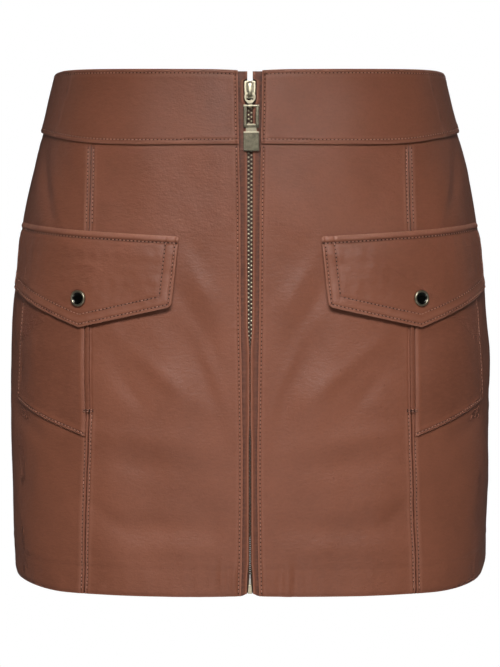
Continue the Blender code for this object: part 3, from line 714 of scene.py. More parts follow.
def cloth_patch(name, node, side, lines, place, height, wear, wall, rim, finishes=None):
    """A cloth piece on a grid of (column, row) lines, which stands for its node.

    place turns grid lines into (across, drop) and height gives the face there. The shading function
    says where the face is paler, by painted highlight and at its rims also by rub (above 0), and
    where painted shade darkens it (below 0).
    """
    columns, rows = lines
    mesh, column, row = grid_mesh(name, len(columns), len(rows), side)
    across, drop = place(columns[column], rows[row])
    lift = height(across, drop, side)
    points = FORM.point(across, drop, lift)
    points[:, 0] *= side
    mesh.vertices.foreach_set("co", points.ravel())
    set_relief_shading(mesh, wear(across, drop))
    layer = mesh.uv_layers.new(name="cloth")
    loops = np.empty(len(mesh.loops), int)
    mesh.loops.foreach_get("vertex_index", loops)
    uv = np.stack([across[loops], -drop[loops]], axis=-1) * MM
    layer.uv.foreach_set("vector", uv.ravel())
    mesh.update()
    finish_cloth(add_object(name, mesh, finishes or leather()), node, wall, rim)


def even_shading(value):
    return lambda across, drop: np.full(across.shape, value)


def set_relief_shading(mesh, wear):
    """Keep each point's painted shade (below 0) and painted highlight or rub (above 0), 1 for half
    a millimetre of relief.
    """
    kept = mesh.attributes.new("wear", "FLOAT", "POINT")
    kept.data.foreach_set("value", np.clip(wear / 0.5, -1.5, 1.5))


def stand_for(made, node, body):
    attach(made, body)
    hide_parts(node)


def finish_cloth(made, node, wall, rim):
    """Give a cloth face its wall and let it stand for its node."""
    shell(made, wall, rim)
    stand_for(made, node, BODY)


# ---- shaders -----------------------------------------------------------------------------------

class Value:
    """A shader socket that can be used in sums."""

    def __init__(self, finish, socket):
        self.finish, self.socket = finish, socket

    def __add__(self, other):
        return self.finish.maths("ADD", self, other)

    def __radd__(self, other):
        return self.finish.maths("ADD", other, self)

    def __sub__(self, other):
        return self.finish.maths("SUBTRACT", self, other)

    def __rsub__(self, other):
        return self.finish.maths("SUBTRACT", other, self)

    def __mul__(self, other):
        return self.finish.maths("MULTIPLY", self, other)

    def __rmul__(self, other):
        return self.finish.maths("MULTIPLY", other, self)

    def __pow__(self, other):
        return self.finish.maths("POWER", self, other)

    def clamped(self):
        return self.finish.maths("MAXIMUM", self.finish.maths("MINIMUM", self, 1.0), 0.0)


class Finish:
    """A material under construction, with one Principled shader."""

    def __init__(self, name):
        self.material = bpy.data.materials.new(name)
        self.material.use_nodes = True
        self.tree = self.material.node_tree
        self.shader = self.tree.nodes["Principled BSDF"]

    def node(self, kind, settings=None, **sockets):
        """Add a node: its settings first, then its sockets by name, with _ for a space."""
        made = self.tree.nodes.new(kind)
        for key, value in (settings or {}).items():
            if key == "stops":
                self.set_stops(made.color_ramp, value)
            else:
                setattr(made, key, value)
        for key, value in sockets.items():
            self.feed(self.open_socket(made.inputs, key.replace("_", " ")), value)
        return made

    def set_stops(self, ramp, stops):
        while len(ramp.elements) < len(stops):
            ramp.elements.new(1.0)
        for element, (position, colour) in zip(ramp.elements, stops):
            element.position = position
            element.color = (*colour, 1.0)

    def open_socket(self, sockets, name):
        return next(s for s in sockets if s.name == name and not s.is_unavailable)

    def feed(self, socket, value):
        if isinstance(value, Value):
            self.tree.links.new(value.socket, socket)
        elif hasattr(value, "__len__") and len(socket.default_value) == 4 and len(value) == 3:
            socket.default_value = (*value, 1.0)
        else:
            socket.default_value = value

    def read(self, node, name):
        return Value(self, self.open_socket(node.outputs, name))

    def maths(self, operation, first, second):
        made = self.tree.nodes.new("ShaderNodeMath")
        made.operation = operation
        self.feed(made.inputs[0], first)
        self.feed(made.inputs[1], second)
        return Value(self, made.outputs[0])

    def mix(self, share, first, second):
        made = self.node("ShaderNodeMix", {"data_type": "RGBA"}, Factor=share, A=first, B=second)
        return self.read(made, "Result")

    def place(self):
        return self.read(self.node("ShaderNodeTexCoord"), "Object")

    def noise(self, vector, scale, detail=2.0, roughness=0.5):
        made = self.node("ShaderNodeTexNoise", None, Vector=vector, Scale=scale, Detail=detail,
                         Roughness=roughness)
        return self.read(made, "Fac")

    def cells(self, vector, scale, feature="F1"):
        made = self.node("ShaderNodeTexVoronoi", {"feature": feature}, Vector=vector, Scale=scale)
        return self.read(made, "Distance")

    def attribute(self, name):
        return self.read(self.node("ShaderNodeAttribute", {"attribute_name": name}), "Fac")

    def uv(self, name):
        return self.read(self.node("ShaderNodeUVMap", {"uv_map": name}), "UV")

    def bump(self, height, distance, strength):
        made = self.node("ShaderNodeBump", None, Height=height, Distance=distance,
                         Strength=strength)
        return self.read(made, "Normal")

    def set(self, **sockets):
        for key, value in sockets.items():
            self.feed(self.shader.inputs[key.replace("_", " ")], value)
        return self.material


def tinted(colour, *shares):
    """A colour with its channels scaled, by one share for all or one for each."""
    return tuple(value * share for value, share in zip(colour, shares * (3 // len(shares))))


@cache
def leather_face():
    """Smooth tan leather: mottled and finely grained, with painted shade in its seams and stitch
    lines, and paler puffs and rims, partly rub and partly painted highlight.
    """
    look = bpy.context.scene.skirt_leather
    finish = Finish("leather_face")
    spot = finish.place()
    cloudy = finish.noise(spot, 22.0, 3.0, 0.55)
    patchy = finish.noise(spot, 75.0, 2.0, 0.5)
    fleck = finish.noise(spot, 620.0, 2.0, 0.6)
    wear = finish.attribute("wear")
    deeper, paler = tinted(look.face, 0.80), tinted(look.face, 1.16, 1.19, 1.22)
    colour = finish.mix(((cloudy - 0.5) * 1.2 + 0.55).clamped(), deeper, paler)
    colour = finish.mix(((patchy - 0.5) * 0.8 + 0.10).clamped(), colour, paler)
    colour = finish.mix(((fleck - 0.46) * 1.3).clamped(), colour, deeper)
    # painted shade: the crease colour laid where the sewing's relief dips, and over the pocket,
    # welt and lips
    colour = finish.mix((wear * -0.85).clamped(), colour, tuple(look.seam_shade_colour))
    # paler where the relief rises: painted highlight on puffs and rolled rims, with some real rub
    # at the rims
    rub_and_highlight = (wear * 0.85 - 0.15).clamped() * (fleck * 0.9 + 0.2)
    colour = finish.mix(rub_and_highlight.clamped(), colour, tuple(look.rub_highlight_colour))
    pebble = finish.cells(spot, 1.0 / look.grain, "SMOOTH_F1")
    pores = finish.cells(spot, 2.6 / look.grain)
    creasing = finish.noise(spot, 300.0, 4.0, 0.62)
    drawn = finish.node("ShaderNodeMapping", None, Vector=spot, Scale=(0.40, 0.40, 1.0))
    crinkle = finish.noise(finish.read(drawn, "Vector"), 560.0, 3.0, 0.6)
    colour = finish.mix(((crinkle - 0.5) * 1.3 + 0.1).clamped(), colour, paler)
    height = pebble * 0.55 + pores * 0.25 + creasing * 0.9 + crinkle * 1.3
    normal = finish.bump(height, 0.00019, 0.8)
    rough = look.roughness + (cloudy - 0.5) * 0.10 + (creasing - 0.5) * 0.22 - wear * 0.04
    finish.shader.inputs["Specular IOR Level"].default_value = 0.34
    return finish.set(Base_Color=colour, Roughness=rough, Normal=normal)


def leather():
    return leather_face(), leather_flesh()


@cache
def leather_flesh():
    """The inside of the leather: a short brown nap."""
    look = bpy.context.scene.skirt_leather
    finish = Finish("leather_flesh")
    spot = finish.place()
    cloudy = finish.noise(spot, 40.0, 3.0, 0.6)
    fibre = finish.noise(spot, 900.0, 4.0, 0.7)
    colour = finish.mix(((cloudy - 0.5) * 2.0 + 0.5).clamped(), tinted(look.flesh, 0.62),
                        tuple(look.flesh))
    colour = finish.mix(((fibre - 0.45) * 1.6).clamped(), colour, tinted(look.flesh, 1.3))
    normal = finish.bump(fibre + cloudy * 0.5, 0.00025, 0.8)
    finish.shader.inputs["Sheen Weight"].default_value = 0.25
    finish.shader.inputs["Specular IOR Level"].default_value = 0.2
    return finish.set(Base_Color=colour, Roughness=(fibre * 0.15 + 0.82).clamped(), Normal=normal)


@cache
def sewing_thread():
    """Tonal sewing thread, twisted and slightly glossy."""
    sewing = bpy.context.scene.skirt_sewing
    finish = Finish("sewing_thread")
    spot = finish.place()
    uneven = finish.noise(spot, 240.0, 2.0)
    twist = finish.noise(spot, 5200.0, 1.0)
    colour = finish.mix(((uneven - 0.5) * 2.4 + 0.5).clamped(), tinted(sewing.thread, 0.72),
                        tinted(sewing.thread, 1.18))
    return finish.set(Base_Color=colour, Roughness=(twist * 0.2 + 0.4).clamped(),
                      Normal=finish.bump(twist, 0.00008, 0.8))


@cache
def needle_pit():
    """A dark disc laid where the thread goes through the leather: painted shade for the hole."""
    look = bpy.context.scene.skirt_leather
    finish = Finish("needle_pit")
    uneven = finish.noise(finish.place(), 500.0)
    colour = finish.mix(uneven, tinted(look.seam_shade_colour, 0.35), tinted(look.seam_shade_colour, 0.8))
    return finish.set(Base_Color=colour, Roughness=0.85)


def plated(name, colour, dark, roughness, brushed, tarnish):
    """Plated metal with fine brush lines and tarnish in patches."""
    finish = Finish(name)
    spot = finish.place()
    stretched = finish.node("ShaderNodeMapping", None, Vector=spot, Scale=(1.0, 1.0, 0.06))
    lines = finish.noise(finish.read(stretched, "Vector"), 7000.0, 2.0)
    cloudy = finish.noise(spot, 420.0, 3.0, 0.6)
    speck = finish.noise(spot, 2400.0, 2.0)
    mixed = finish.mix(((cloudy - 0.5) * tarnish + 0.35).clamped(), colour, dark)
    rough = roughness + (lines - 0.5) * brushed + (cloudy - 0.5) * 0.18
    normal = finish.bump(lines * brushed * 2.0 + speck * 0.25, 0.00003, 0.5)
    finish.shader.inputs["Metallic"].default_value = 1.0
    return finish.set(Base_Color=mixed, Roughness=rough.clamped(), Normal=normal)


def zip_metal(name, setting, light, dark, roughness, brushed, tarnish):
    """A plated finish from one colour setting, with the shares of it that are light and dark."""
    @cache
    def build():
        colour = getattr(bpy.context.scene.skirt_zip, setting)
        return plated(name, tinted(colour, light), tinted(colour, dark), roughness, brushed,
                      tarnish)
    return build


plated_gold = zip_metal("plated_gold", "gold", 1.0, 0.62, 0.34, 0.10, 1.6)
# a lighter copy of the gold: painted light on the link and the zip's stop
link_gold = zip_metal("link_gold", "gold", 1.5, 1.1, 0.42, 0.08, 1.2)
worn_gold = zip_metal("worn_gold", "gold", 0.55, 0.30, 0.45, 0.10, 1.8)     # a darker copy of the gold: painted shade in the slider's sunk face and on the tab's neck
# a lighter copy of the gold: painted highlight on the teeth's shoulders
tooth_gold = zip_metal("tooth_gold", "gold", 1.25, 0.8, 0.36, 0.06, 1.6)
tooth_dull = zip_metal("tooth_dull", "gold", 0.34, 0.14, 0.5, 0.06, 2.0)    # a darker copy of the gold: painted shade on teeth under the lips and on the heads between the shoulders
aged_brass = zip_metal("aged_brass", "brass", 1.0, 0.50, 0.36, 0.42, 2.4)


@cache
def snap_gunmetal():
    return plated("snap_gunmetal", (0.050, 0.050, 0.044), (0.020, 0.020, 0.018), 0.20, 0.05, 1.4)


@cache
def woven_tape():
    """The zip's tape: a tight herringbone weave."""
    tape = bpy.context.scene.skirt_zip.tape
    finish = Finish("woven_tape")
    uv = finish.uv("cloth")
    turned = finish.node("ShaderNodeMapping", None, Vector=uv, Rotation=(0, 0, math.radians(38)))
    weave = finish.node("ShaderNodeTexWave", {"wave_type": "BANDS"}, Scale=420.0, Distortion=0.6,
                        Vector=finish.read(turned, "Vector"))
    rib = finish.read(weave, "Fac")
    colour = finish.mix(rib, tinted(tape, 0.5), tinted(tape, 1.5))
    return finish.set(Base_Color=colour, Roughness=0.85, Normal=finish.bump(rib, 0.0001, 0.7))


# ---- the leather pieces --------------------------------------------------------------------------

PANEL_LENGTH = 330.0
BAND_LENGTH = 50.0


def beside(line, shift):
    """A line or an edge, moved by so many millimetres."""
    return lambda at: line(at) + shift


def strip_place(first, last, foot, top, width, length, middle):
    """Places between two upright lines, from the foot edge up to the top edge.

    Lines and edges depend on each other, so the place is found in rounds from a middle drop.
    """
    def place(u, v):
        drop = np.full(u.shape, middle)
        for _ in range(5):
            across = first(drop) + (last(drop) - first(drop)) * u / width
            low, high = foot(across), top(across)
            drop = low + (high - low) * v / length
        return across, drop
    return place


SIDE_SEAM_FRONT = beside(FORM.side_seam, SEAM_OVERLAP)
SIDE_SEAM_BACK = beside(FORM.side_seam, -SEAM_OVERLAP)


class SKIRT_OT_panels(bpy.types.Operator):
    """Make the six leather panels from the hem to the waist seam"""
    bl_idname = "skirt.panels"
    bl_label = "Panels"

    def execute(self, context):
        rows = spread(PANEL_LENGTH, 2.1, start=(0.0, 0.8, 1.6, 2.6, 4.0, 6.0), end=(0.0, 4.0))
        panels = (
            ("front", fold_edge_at, beside(princess_at, SEAM_OVERLAP), 112.0, 2.2),
            ("side", beside(princess_at, -SEAM_OVERLAP), SIDE_SEAM_FRONT, 128.0, 2.2),
            ("back", SIDE_SEAM_BACK, beside(FORM.girth, SEAM_OVERLAP), 236.0, 2.6),
        )
        for side, hand in SIDES:
            for part, first, last, width, step in panels:
                place = strip_place(first, last, hem_at, beside(seam_at, -LAP), width,
                                    PANEL_LENGTH, 200.0)
                cloth_patch(f"{part}_leather_{hand}", f"{part}_panel_{hand}", side,
                            (spread(width, step), rows), place, panel_height, panel_shading,
                            LEATHER_WALL, 0.45)
        return {"FINISHED"}


class SKIRT_OT_waistband(bpy.types.Operator):
    """Make the waistband, lapped over the tops of the panels"""
    bl_idname = "skirt.waistband"
    bl_label = "Waistband"

    def execute(self, context):
        width = 200.0
        rows = spread(BAND_LENGTH, 2.1)
        for side, hand in SIDES:
            cloth_patch(f"band_leather_{hand}", f"waistband_front_{hand}", side,
                        (spread(width, 2.2), rows),
                        self.place(fold_edge_at, SIDE_SEAM_FRONT, width),
                        band_height, band_shading, BAND_WALL, 0.6)
        self.make_back(rows)
        return {"FINISHED"}

    def place(self, first, last, width):
        return strip_place(first, last, seam_at, waist_at, width, BAND_LENGTH, 25.0)

    def make_back(self, rows):
        """The back of the band, in one piece from side seam to side seam."""
        width = 190.0
        half = spread(width, 2.4, end=(0.0, 2.0))
        columns = np.concatenate([half, 2 * half[-1] - half[-2::-1]])
        mesh, column, row = grid_mesh("band_leather_back", len(columns), len(rows), 1)
        walked = columns[column]
        mirror = np.where(walked > half[-1], -1.0, 1.0)
        walked = np.where(mirror < 0, 2 * half[-1] - walked, walked)
        across, drop = self.place(SIDE_SEAM_BACK, FORM.girth, width)(walked, rows[row])
        points = FORM.point(across, drop, band_height(across, drop, 1))
        points[:, 0] *= mirror
        mesh.vertices.foreach_set("co", points.ravel())
        set_relief_shading(mesh, band_shading(across, drop))
        mesh.update()
        finish_cloth(add_object("band_leather_back", mesh, leather()), "waistband_back",
                     BAND_WALL, 0.6)


def rounded_corner(across, drop, edge_a, edge_b, radius):
    """Pull grid places into a rounded corner between two straight edges of a piece."""
    p = line_distance(*edge_a, across, drop)
    q = line_distance(*edge_b, across, drop)
    a, b = radius - p, radius - q
    inside = (a > 0) & (b > 0)
    shrink = np.where(inside, np.maximum(a, b) / np.maximum(np.hypot(a, b), 1e-9), 1.0)
    new_p, new_q = radius - a * shrink, radius - b * shrink

    def row_of(edge):
        along_x, along_y = edge[1].across - edge[0].across, edge[0].drop - edge[1].drop
        size = math.hypot(along_x, along_y)
        return -along_y / size, -along_x / size

    matrix = np.array([row_of(edge_a), row_of(edge_b)])
    origin = np.array([line_distance(*edge_a, 0.0, 0.0), line_distance(*edge_b, 0.0, 0.0)])
    solved = np.linalg.solve(matrix, np.stack([new_p - origin[0], new_q - origin[1]]))
    return np.where(inside, solved[0], across), np.where(inside, solved[1], drop)


def quad_place(low_in, low_out, high_out, high_in, width, length, kink=None):
    """Places inside four corners; kink is a lower corner between the two low ones."""
    def place(u, v):
        s, t = u / width, v / length
        if kink is None:
            low = (low_in.across + (low_out.across - low_in.across) * s,
                   low_in.drop + (low_out.drop - low_in.drop) * s)
        else:
            at = kink_share(low_in, low_out, kink)
            first = np.clip(s / at, 0, 1)
            second = np.clip((s - at) / (1 - at), 0, 1)
            low = (low_in.across + (kink.across - low_in.across) * first
                   + (low_out.across - kink.across) * second,
                   low_in.drop + (kink.drop - low_in.drop) * first
                   + (low_out.drop - kink.drop) * second)
        high = (high_in.across + (high_out.across - high_in.across) * s,
                high_in.drop + (high_out.drop - high_in.drop) * s)
        return low[0] + (high[0] - low[0]) * t, low[1] + (high[1] - low[1]) * t
    return place


def kink_share(low_in, low_out, kink):
    return (kink.across - low_in.across) / (low_out.across - low_in.across)


class SKIRT_OT_pockets(bpy.types.Operator):
    """Make the patch pockets and the welts in their openings"""
    bl_idname = "skirt.pockets"
    bl_label = "Pockets"

    def execute(self, context):
        width, length, welt_length = 68.0, 112.0, 92.0
        flat_place = quad_place(*POCKET, width, length)

        def pocket_place(u, v):
            across, drop = flat_place(u, v)
            return rounded_corner(across, drop, (POCKET[0], POCKET[1]), (POCKET[1], POCKET[2]), 2.5)

        def welt_height(across, drop, side):
            middle = (WELT[0].across + WELT[1].across) / 2
            crown = 0.25 * bump(across - middle, 1.1)
            return WELT_FACE + crown + cloth_height(across, drop, side)

        pocket_lines = spread(width, 1.9), spread(length, 2.0, end=(0.0, 3.0))
        welt_lines = (np.linspace(0, WELT[1].across - WELT[0].across, 7),
                      np.linspace(0, welt_length, 47))
        welt_place = quad_place(*WELT, welt_lines[0][-1], welt_length)
        for side, hand in SIDES:
            cloth_patch(f"pocket_leather_{hand}", f"pocket_{hand}", side, pocket_lines,
                        pocket_place, pocket_height, pocket_shading, POCKET_WALL, 0.5)
            # the welt is a little darker all over: painted shade in the pocket's opening
            cloth_patch(f"welt_leather_{hand}", f"pocket_welt_{hand}", side, welt_lines,
                        welt_place, welt_height, even_shading(-0.12), WELT_WALL, 0.4)
        return {"FINISHED"}


class SKIRT_OT_flaps(bpy.types.Operator):
    """Make the pointed pocket flaps with their rolled tops and sewn edges"""
    bl_idname = "skirt.flaps"
    bl_label = "Pocket flaps"

    def execute(self, context):
        width, length = 142.0, 55.0
        rim = (0.0, 0.7, 1.3, 1.8, 2.2, 2.6, 3.1, 3.9, 5.0, 6.6, 7.9, 8.4, 8.8, 9.2, 9.8, 11.0)
        top_rim = (0.0, 0.7, 1.5, 2.4, 3.3, 4.0, 4.5, 4.9, 5.3, 5.8, 6.6, 8.0)
        at = kink_share(FLAP[0], FLAP[2], FLAP[1]) * width
        first = spread(at, 1.6, start=rim, end=(0.0, 1.0))
        second = spread(width - at, 1.6, start=(0.0, 1.0), end=rim)
        columns = np.concatenate([first, at + second[1:]])
        rows = spread(length, 1.5, start=rim, end=top_rim)
        flat_place = quad_place(FLAP[0], FLAP[2], FLAP[3], FLAP[4], width, length, kink=FLAP[1])
        sharp = ((0, 4, 3.0), (2, 1, 3.0), (3, 2, 2.0), (4, 3, 2.0))

        def flap_place(u, v):
            across, drop = flat_place(u, v)
            for corner, before, radius in sharp:
                edge_a = (FLAP[before], FLAP[(before + 1) % 5])
                edge_b = (FLAP[corner], FLAP[(corner + 1) % 5])
                near = np.hypot(across - FLAP[corner].across, drop - FLAP[corner].drop) < 12
                pulled = rounded_corner(across, drop, edge_a, edge_b, radius)
                across = np.where(near, pulled[0], across)
                drop = np.where(near, pulled[1], drop)
            return across, drop

        for side, hand in SIDES:
            cloth_patch(f"flap_leather_{hand}", f"pocket_flap_{hand}", side, (columns, rows),
                        flap_place, flap_height, flap_shading, FLAP_WALL, 0.7)
        return {"FINISHED"}


# ---- sewing --------------------------------------------------------------------------------------

def joined_copies(name, batches):
    """One mesh of many copies. batches holds pairs of a shape and an array of its places."""
    points, corners, starts, finishes = [], [], [], []
    for shape, places in batches:
        count, polygons = len(places), shape.polygons
        co = np.empty(len(shape.vertices) * 3)
        shape.vertices.foreach_get("co", co)
        co = np.hstack([co.reshape(-1, 3), np.ones((len(shape.vertices), 1))])
        moved = np.einsum("nij,vj->nvi", places[:, :3], co).reshape(-1, 3)
        vertex = np.empty(len(shape.loops), int)
        shape.loops.foreach_get("vertex_index", vertex)
        start = np.empty(len(polygons), int)
        polygons.foreach_get("loop_start", start)
        copies = np.arange(count)[:, None]
        corners.append((vertex + copies * len(co)).ravel() + sum(map(len, points)))
        starts.append((start + copies * len(vertex)).ravel() + sum(map(len, corners[:-1])))
        finish = np.empty(len(polygons), int)
        polygons.foreach_get("material_index", finish)
        finishes.append(np.tile(finish, count))
        points.append(moved)
    points, corners, starts, finishes = map(np.concatenate, (points, corners, starts, finishes))
    mesh = bpy.data.meshes.new(name)
    mesh.vertices.add(len(points))
    mesh.vertices.foreach_set("co", points.ravel())
    mesh.loops.add(len(corners))
    mesh.loops.foreach_set("vertex_index", corners.astype(np.int32))
    mesh.polygons.add(len(starts))
    mesh.polygons.foreach_set("loop_start", starts.astype(np.int32))
    mesh.polygons.foreach_set("material_index", finishes.astype(np.int32))
    mesh.update(calc_edges=True)
    mesh.validate()
    return mesh


def one_shape(bm, finish=0):
    """Turn a bmesh into a shape for joined_copies, with one material number."""
    for face in bm.faces:
        face.material_index = finish
    shape = bpy.data.meshes.new("shape")
    bm.to_mesh(shape)
    bm.free()
    return shape


def ball(segments, rings, size, finish=0):
    """A ball stretched along x, y and z, with its poles on x."""
    bm = bmesh.new()
    stretch = Matrix.Diagonal((*size, 1.0)) @ Matrix.Rotation(math.pi / 2, 4, "Y")
    bmesh.ops.create_uvsphere(bm, u_segments=segments, v_segments=rings, radius=1.0,
                              matrix=stretch)
    return one_shape(bm, finish)


class StitchRows:
    """Collects rows of stitches and needle holes into one mesh."""

    def __init__(self, name, side):
        self.name, self.side = name, side
        self.pitch = bpy.context.scene.skirt_sewing.pitch
        self.stitches, self.holes = [], []

    def row(self, across, drop, height, pit=1.0):
        """Sew along places on the skirt. height is the face that the thread lies on.

        The last argument says how far the row's needle holes, dark discs of painted shade, are
        spread open.
        """
        across, drop = (np.asarray(v, float) for v in (across, drop))
        line = FORM.point(across, drop, height(across, drop, self.side))
        walked = np.concatenate([[0.0], np.cumsum(np.linalg.norm(np.diff(line, axis=0), axis=1))])
        count = int(walked[-1] / self.pitch)
        if count < 1:
            return
        spare = (walked[-1] - count * self.pitch) / 2
        centres = spare + self.pitch * (np.arange(count) + 0.5)
        holes = spare + self.pitch * np.arange(count + 1)
        for places, kept in ((centres, self.stitches), (holes, self.holes)):
            here = np.interp(places, walked, across), np.interp(places, walked, drop)
            ahead = np.stack([np.interp(places + 0.0004, walked, line[:, k])
                              - np.interp(places - 0.0004, walked, line[:, k])
                              for k in range(3)], axis=-1)
            turned = self.turned(*here, height, ahead)
            if kept is self.holes:
                turned[:, :3, :2] *= pit
            kept.append(turned)

    def turned(self, across, drop, height, ahead):
        """Places whose x runs along the row and whose z stands on the leather."""
        lift = height(across, drop, self.side)
        x = ahead / np.linalg.norm(ahead, axis=1, keepdims=True)
        z = way_out(across, drop, lift, 0.4)
        z -= x * np.sum(z * x, axis=1, keepdims=True)
        z /= np.linalg.norm(z, axis=1, keepdims=True)
        places = np.zeros((len(x), 4, 4))
        places[:, :3, 0], places[:, :3, 1], places[:, :3, 2] = x, np.cross(z, x), z
        places[:, :3, 3] = FORM.point(across, drop, lift)
        places[:, 3, 3] = 1.0
        return places

    def done(self):
        sewing = bpy.context.scene.skirt_sewing
        stitch = ball(8, 5, (sewing.length / 2, sewing.width / 2, sewing.width * 0.45))
        # each needle hole is a flat dark disc: painted shade for the hole
        hole = ball(8, 3, (0.00062, 0.00060, 0.00024), finish=1)
        places = [np.concatenate(kept) for kept in (self.stitches, self.holes)]
        places[0][:, :3, 3] += places[0][:, :3, 2] * STITCH_RISE * MM
        mesh = joined_copies(self.name, list(zip((stitch, hole), places)))
        bm = bmesh.new()
        bm.from_mesh(mesh)
        if self.side < 0:
            bmesh.ops.scale(bm, vec=(-1, 1, 1), verts=bm.verts)
            bmesh.ops.reverse_faces(bm, faces=bm.faces)
        bm.to_mesh(mesh)
        bm.free()
        made = add_object(self.name, mesh, (sewing_thread(), needle_pit()), sharp=180.0)
        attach(made, BODY)


def along(start, end):
    return np.linspace(start, end, max(2, int(abs(end - start) / ROW_STEP)))


def inset_line(start, end, start_inset, end_inset, inset):
    """A line inside a piece's edge, shortened where it meets the rows of the next edges."""
    size = math.hypot(end.across - start.across, end.drop - start.drop)
    x, y = (end.across - start.across) / size, (start.drop - end.drop) / size
    places = along(start_inset, size - end_inset)
    return start.across + x * places - y * inset, start.drop - y * places - x * inset


class SKIRT_OT_stitching(bpy.types.Operator):
    """Sew every seam, edge, flap and pocket with its own rows of stitches"""
    bl_idname = "skirt.stitching"
    bl_label = "Stitching"

    def execute(self, context):
        for side, hand in SIDES:
            self.sew_panels(side, hand)
            self.sew_band(side, hand)
            self.sew_flap(side, hand)
            self.sew_pocket(side, hand)
        return {"FINISHED"}

    def sew_panels(self, side, hand):
        rows = StitchRows(f"panel_stitches_{hand}", side)
        top, hem = 55.0, 371.0
        for start, end in ((top, 110.0), (244.0, hem)):
            drop = along(start, end)
            for offset in (-SEAM_ROW, SEAM_ROW):
                if start > top and offset > 0:
                    drop = drop[drop > BELOW_POCKET]
                rows.row(princess_at(drop) + offset, drop, panel_height)
        drop = along(50.5, 361.0)
        for offset in (-SEAM_ROW, SEAM_ROW):
            rows.row(FORM.side_seam(drop) + offset, drop, panel_height)
        drop = along(56.0, 365.0)
        rows.row(FORM.girth(drop) - SEAM_ROW, drop, panel_height)
        drop = along(54.5, 371.0)
        rows.row(fold_edge_at(drop) + PLACKET_ROW, drop, panel_height)
        rows.done()

    def sew_band(self, side, hand):
        rows = StitchRows(f"band_stitches_{hand}", side)
        drop = along(3.0, 50.0)
        rows.row(fold_edge_at(drop) + PLACKET_ROW, drop, band_height)
        for edge, shift, near in ((waist_at, BAND_TOP_ROW, 0.0), (seam_at, -BAND_FOOT_ROW, 45.0)):
            across = along(11.5, float(FORM.girth(near + 5)) - 1.5)
            rows.row(across, edge(across) + shift, band_height)
        rows.done()

    def sew_flap(self, side, hand):
        rows = StitchRows(f"flap_stitches_{hand}", side)
        lines = (
            (0, 1, FLAP_EDGE_ROW, FLAP_EDGE_ROW, 0.4),
            (1, 2, FLAP_EDGE_ROW, 0.4, FLAP_OUTER_ROW),
            (2, 3, FLAP_OUTER_ROW, FLAP_EDGE_ROW, FLAP_TOP_ROW),
            (3, 4, FLAP_TOP_ROW, 1.0, 1.0),
            (4, 0, FLAP_EDGE_ROW, FLAP_TOP_ROW, FLAP_EDGE_ROW),
            (0, 1, FLAP_SECOND_ROW, FLAP_SECOND_ROW, 1.5),
            (1, 2, FLAP_SECOND_ROW, 1.5, FLAP_OUTER_ROW),
            (4, 0, FLAP_SECOND_ROW, FLAP_TOP_ROW, FLAP_SECOND_ROW),
        )
        for start, end, inset, head, tail in lines:
            across, drop = inset_line(FLAP[start], FLAP[end], head, tail, inset)
            # the flap's top row gets larger dark discs: more painted shade along its stitches
            rows.row(across, drop, flap_height, pit=1.8 if inset == FLAP_TOP_ROW else 1.15)
        rows.done()

    def sew_pocket(self, side, hand):
        rows = StitchRows(f"pocket_stitches_{hand}", side)
        for start, head, tail in ((0, 1.0, POCKET_ROW), (1, POCKET_ROW, 4.0)):
            across, drop = inset_line(POCKET[start], POCKET[start + 1], head, tail, POCKET_ROW)
            rows.row(across, drop, pocket_height)
        tack = np.linspace(112.6, 121.4, 8)

        def tack_height(at_across, at_drop, at_side):
            over = ease(at_across, 114.4, 115.2)
            return panel_height(at_across, at_drop, at_side) * (1 - over) + over * (
                POCKET_FACE + 0.1 + cloth_height(at_across, at_drop, at_side))

        for drop_line in (241.4, 242.6):
            rows.row(tack, np.full(tack.shape, drop_line), tack_height)
        rows.done()


# ---- the zip -------------------------------------------------------------------------------------

def zip_frame(drop):
    """The frame on the panels' face at the centre front: its tilt follows the front."""
    here, below, above = (
        Vector(FORM.point(0.0, at, 0.0)) for at in (drop, drop + 8.0, drop - 8.0))
    tilt = math.atan2(above.y - below.y, above.z - below.z)
    return Matrix.Translation(here) @ Matrix.Rotation(-tilt, 4, "X")


def metal_object(name, bm, frame_matrix, materials, node, body, sharp=35.0):
    """Finish a piece of hardware: place it in its mesh, and let it stand for its node."""
    bmesh.ops.transform(bm, matrix=frame_matrix, verts=bm.verts)
    mesh = bpy.data.meshes.new(name)
    bm.to_mesh(mesh)
    bm.free()
    made = add_object(name, mesh, materials, sharp)
    made.modifiers.new("flat_faces", "WEIGHTED_NORMAL").keep_sharp = True
    stand_for(made, node, body)


def edges_of(verts):
    return list({edge for vert in verts for edge in vert.link_edges})


def turned_edges(faces, angle):
    """The edges where faces meet at more than an angle."""
    edges = {edge for face in faces for edge in face.edges}
    return [edge for edge in edges if edge.calc_face_angle(0) > angle]


def round_edges(bm, edges, rim, segments):
    bmesh.ops.bevel(bm, geom=edges, offset=rim * MM, segments=segments, affect="EDGES",
                    profile=0.5, material=-1)


def add_block(bm, low, high, rim=0.0, segments=2):
    """A box between two corners in millimetres, with rounded edges."""
    middle = (Vector(low) + Vector(high)) / 2 * MM
    size = (Vector(high) - Vector(low)) * MM
    matrix = Matrix.Translation(middle) @ Matrix.Diagonal((*size, 1.0))
    verts = bmesh.ops.create_cube(bm, size=1.0, matrix=matrix)["verts"]
    if rim:
        round_edges(bm, edges_of(verts), rim, segments)
    return verts


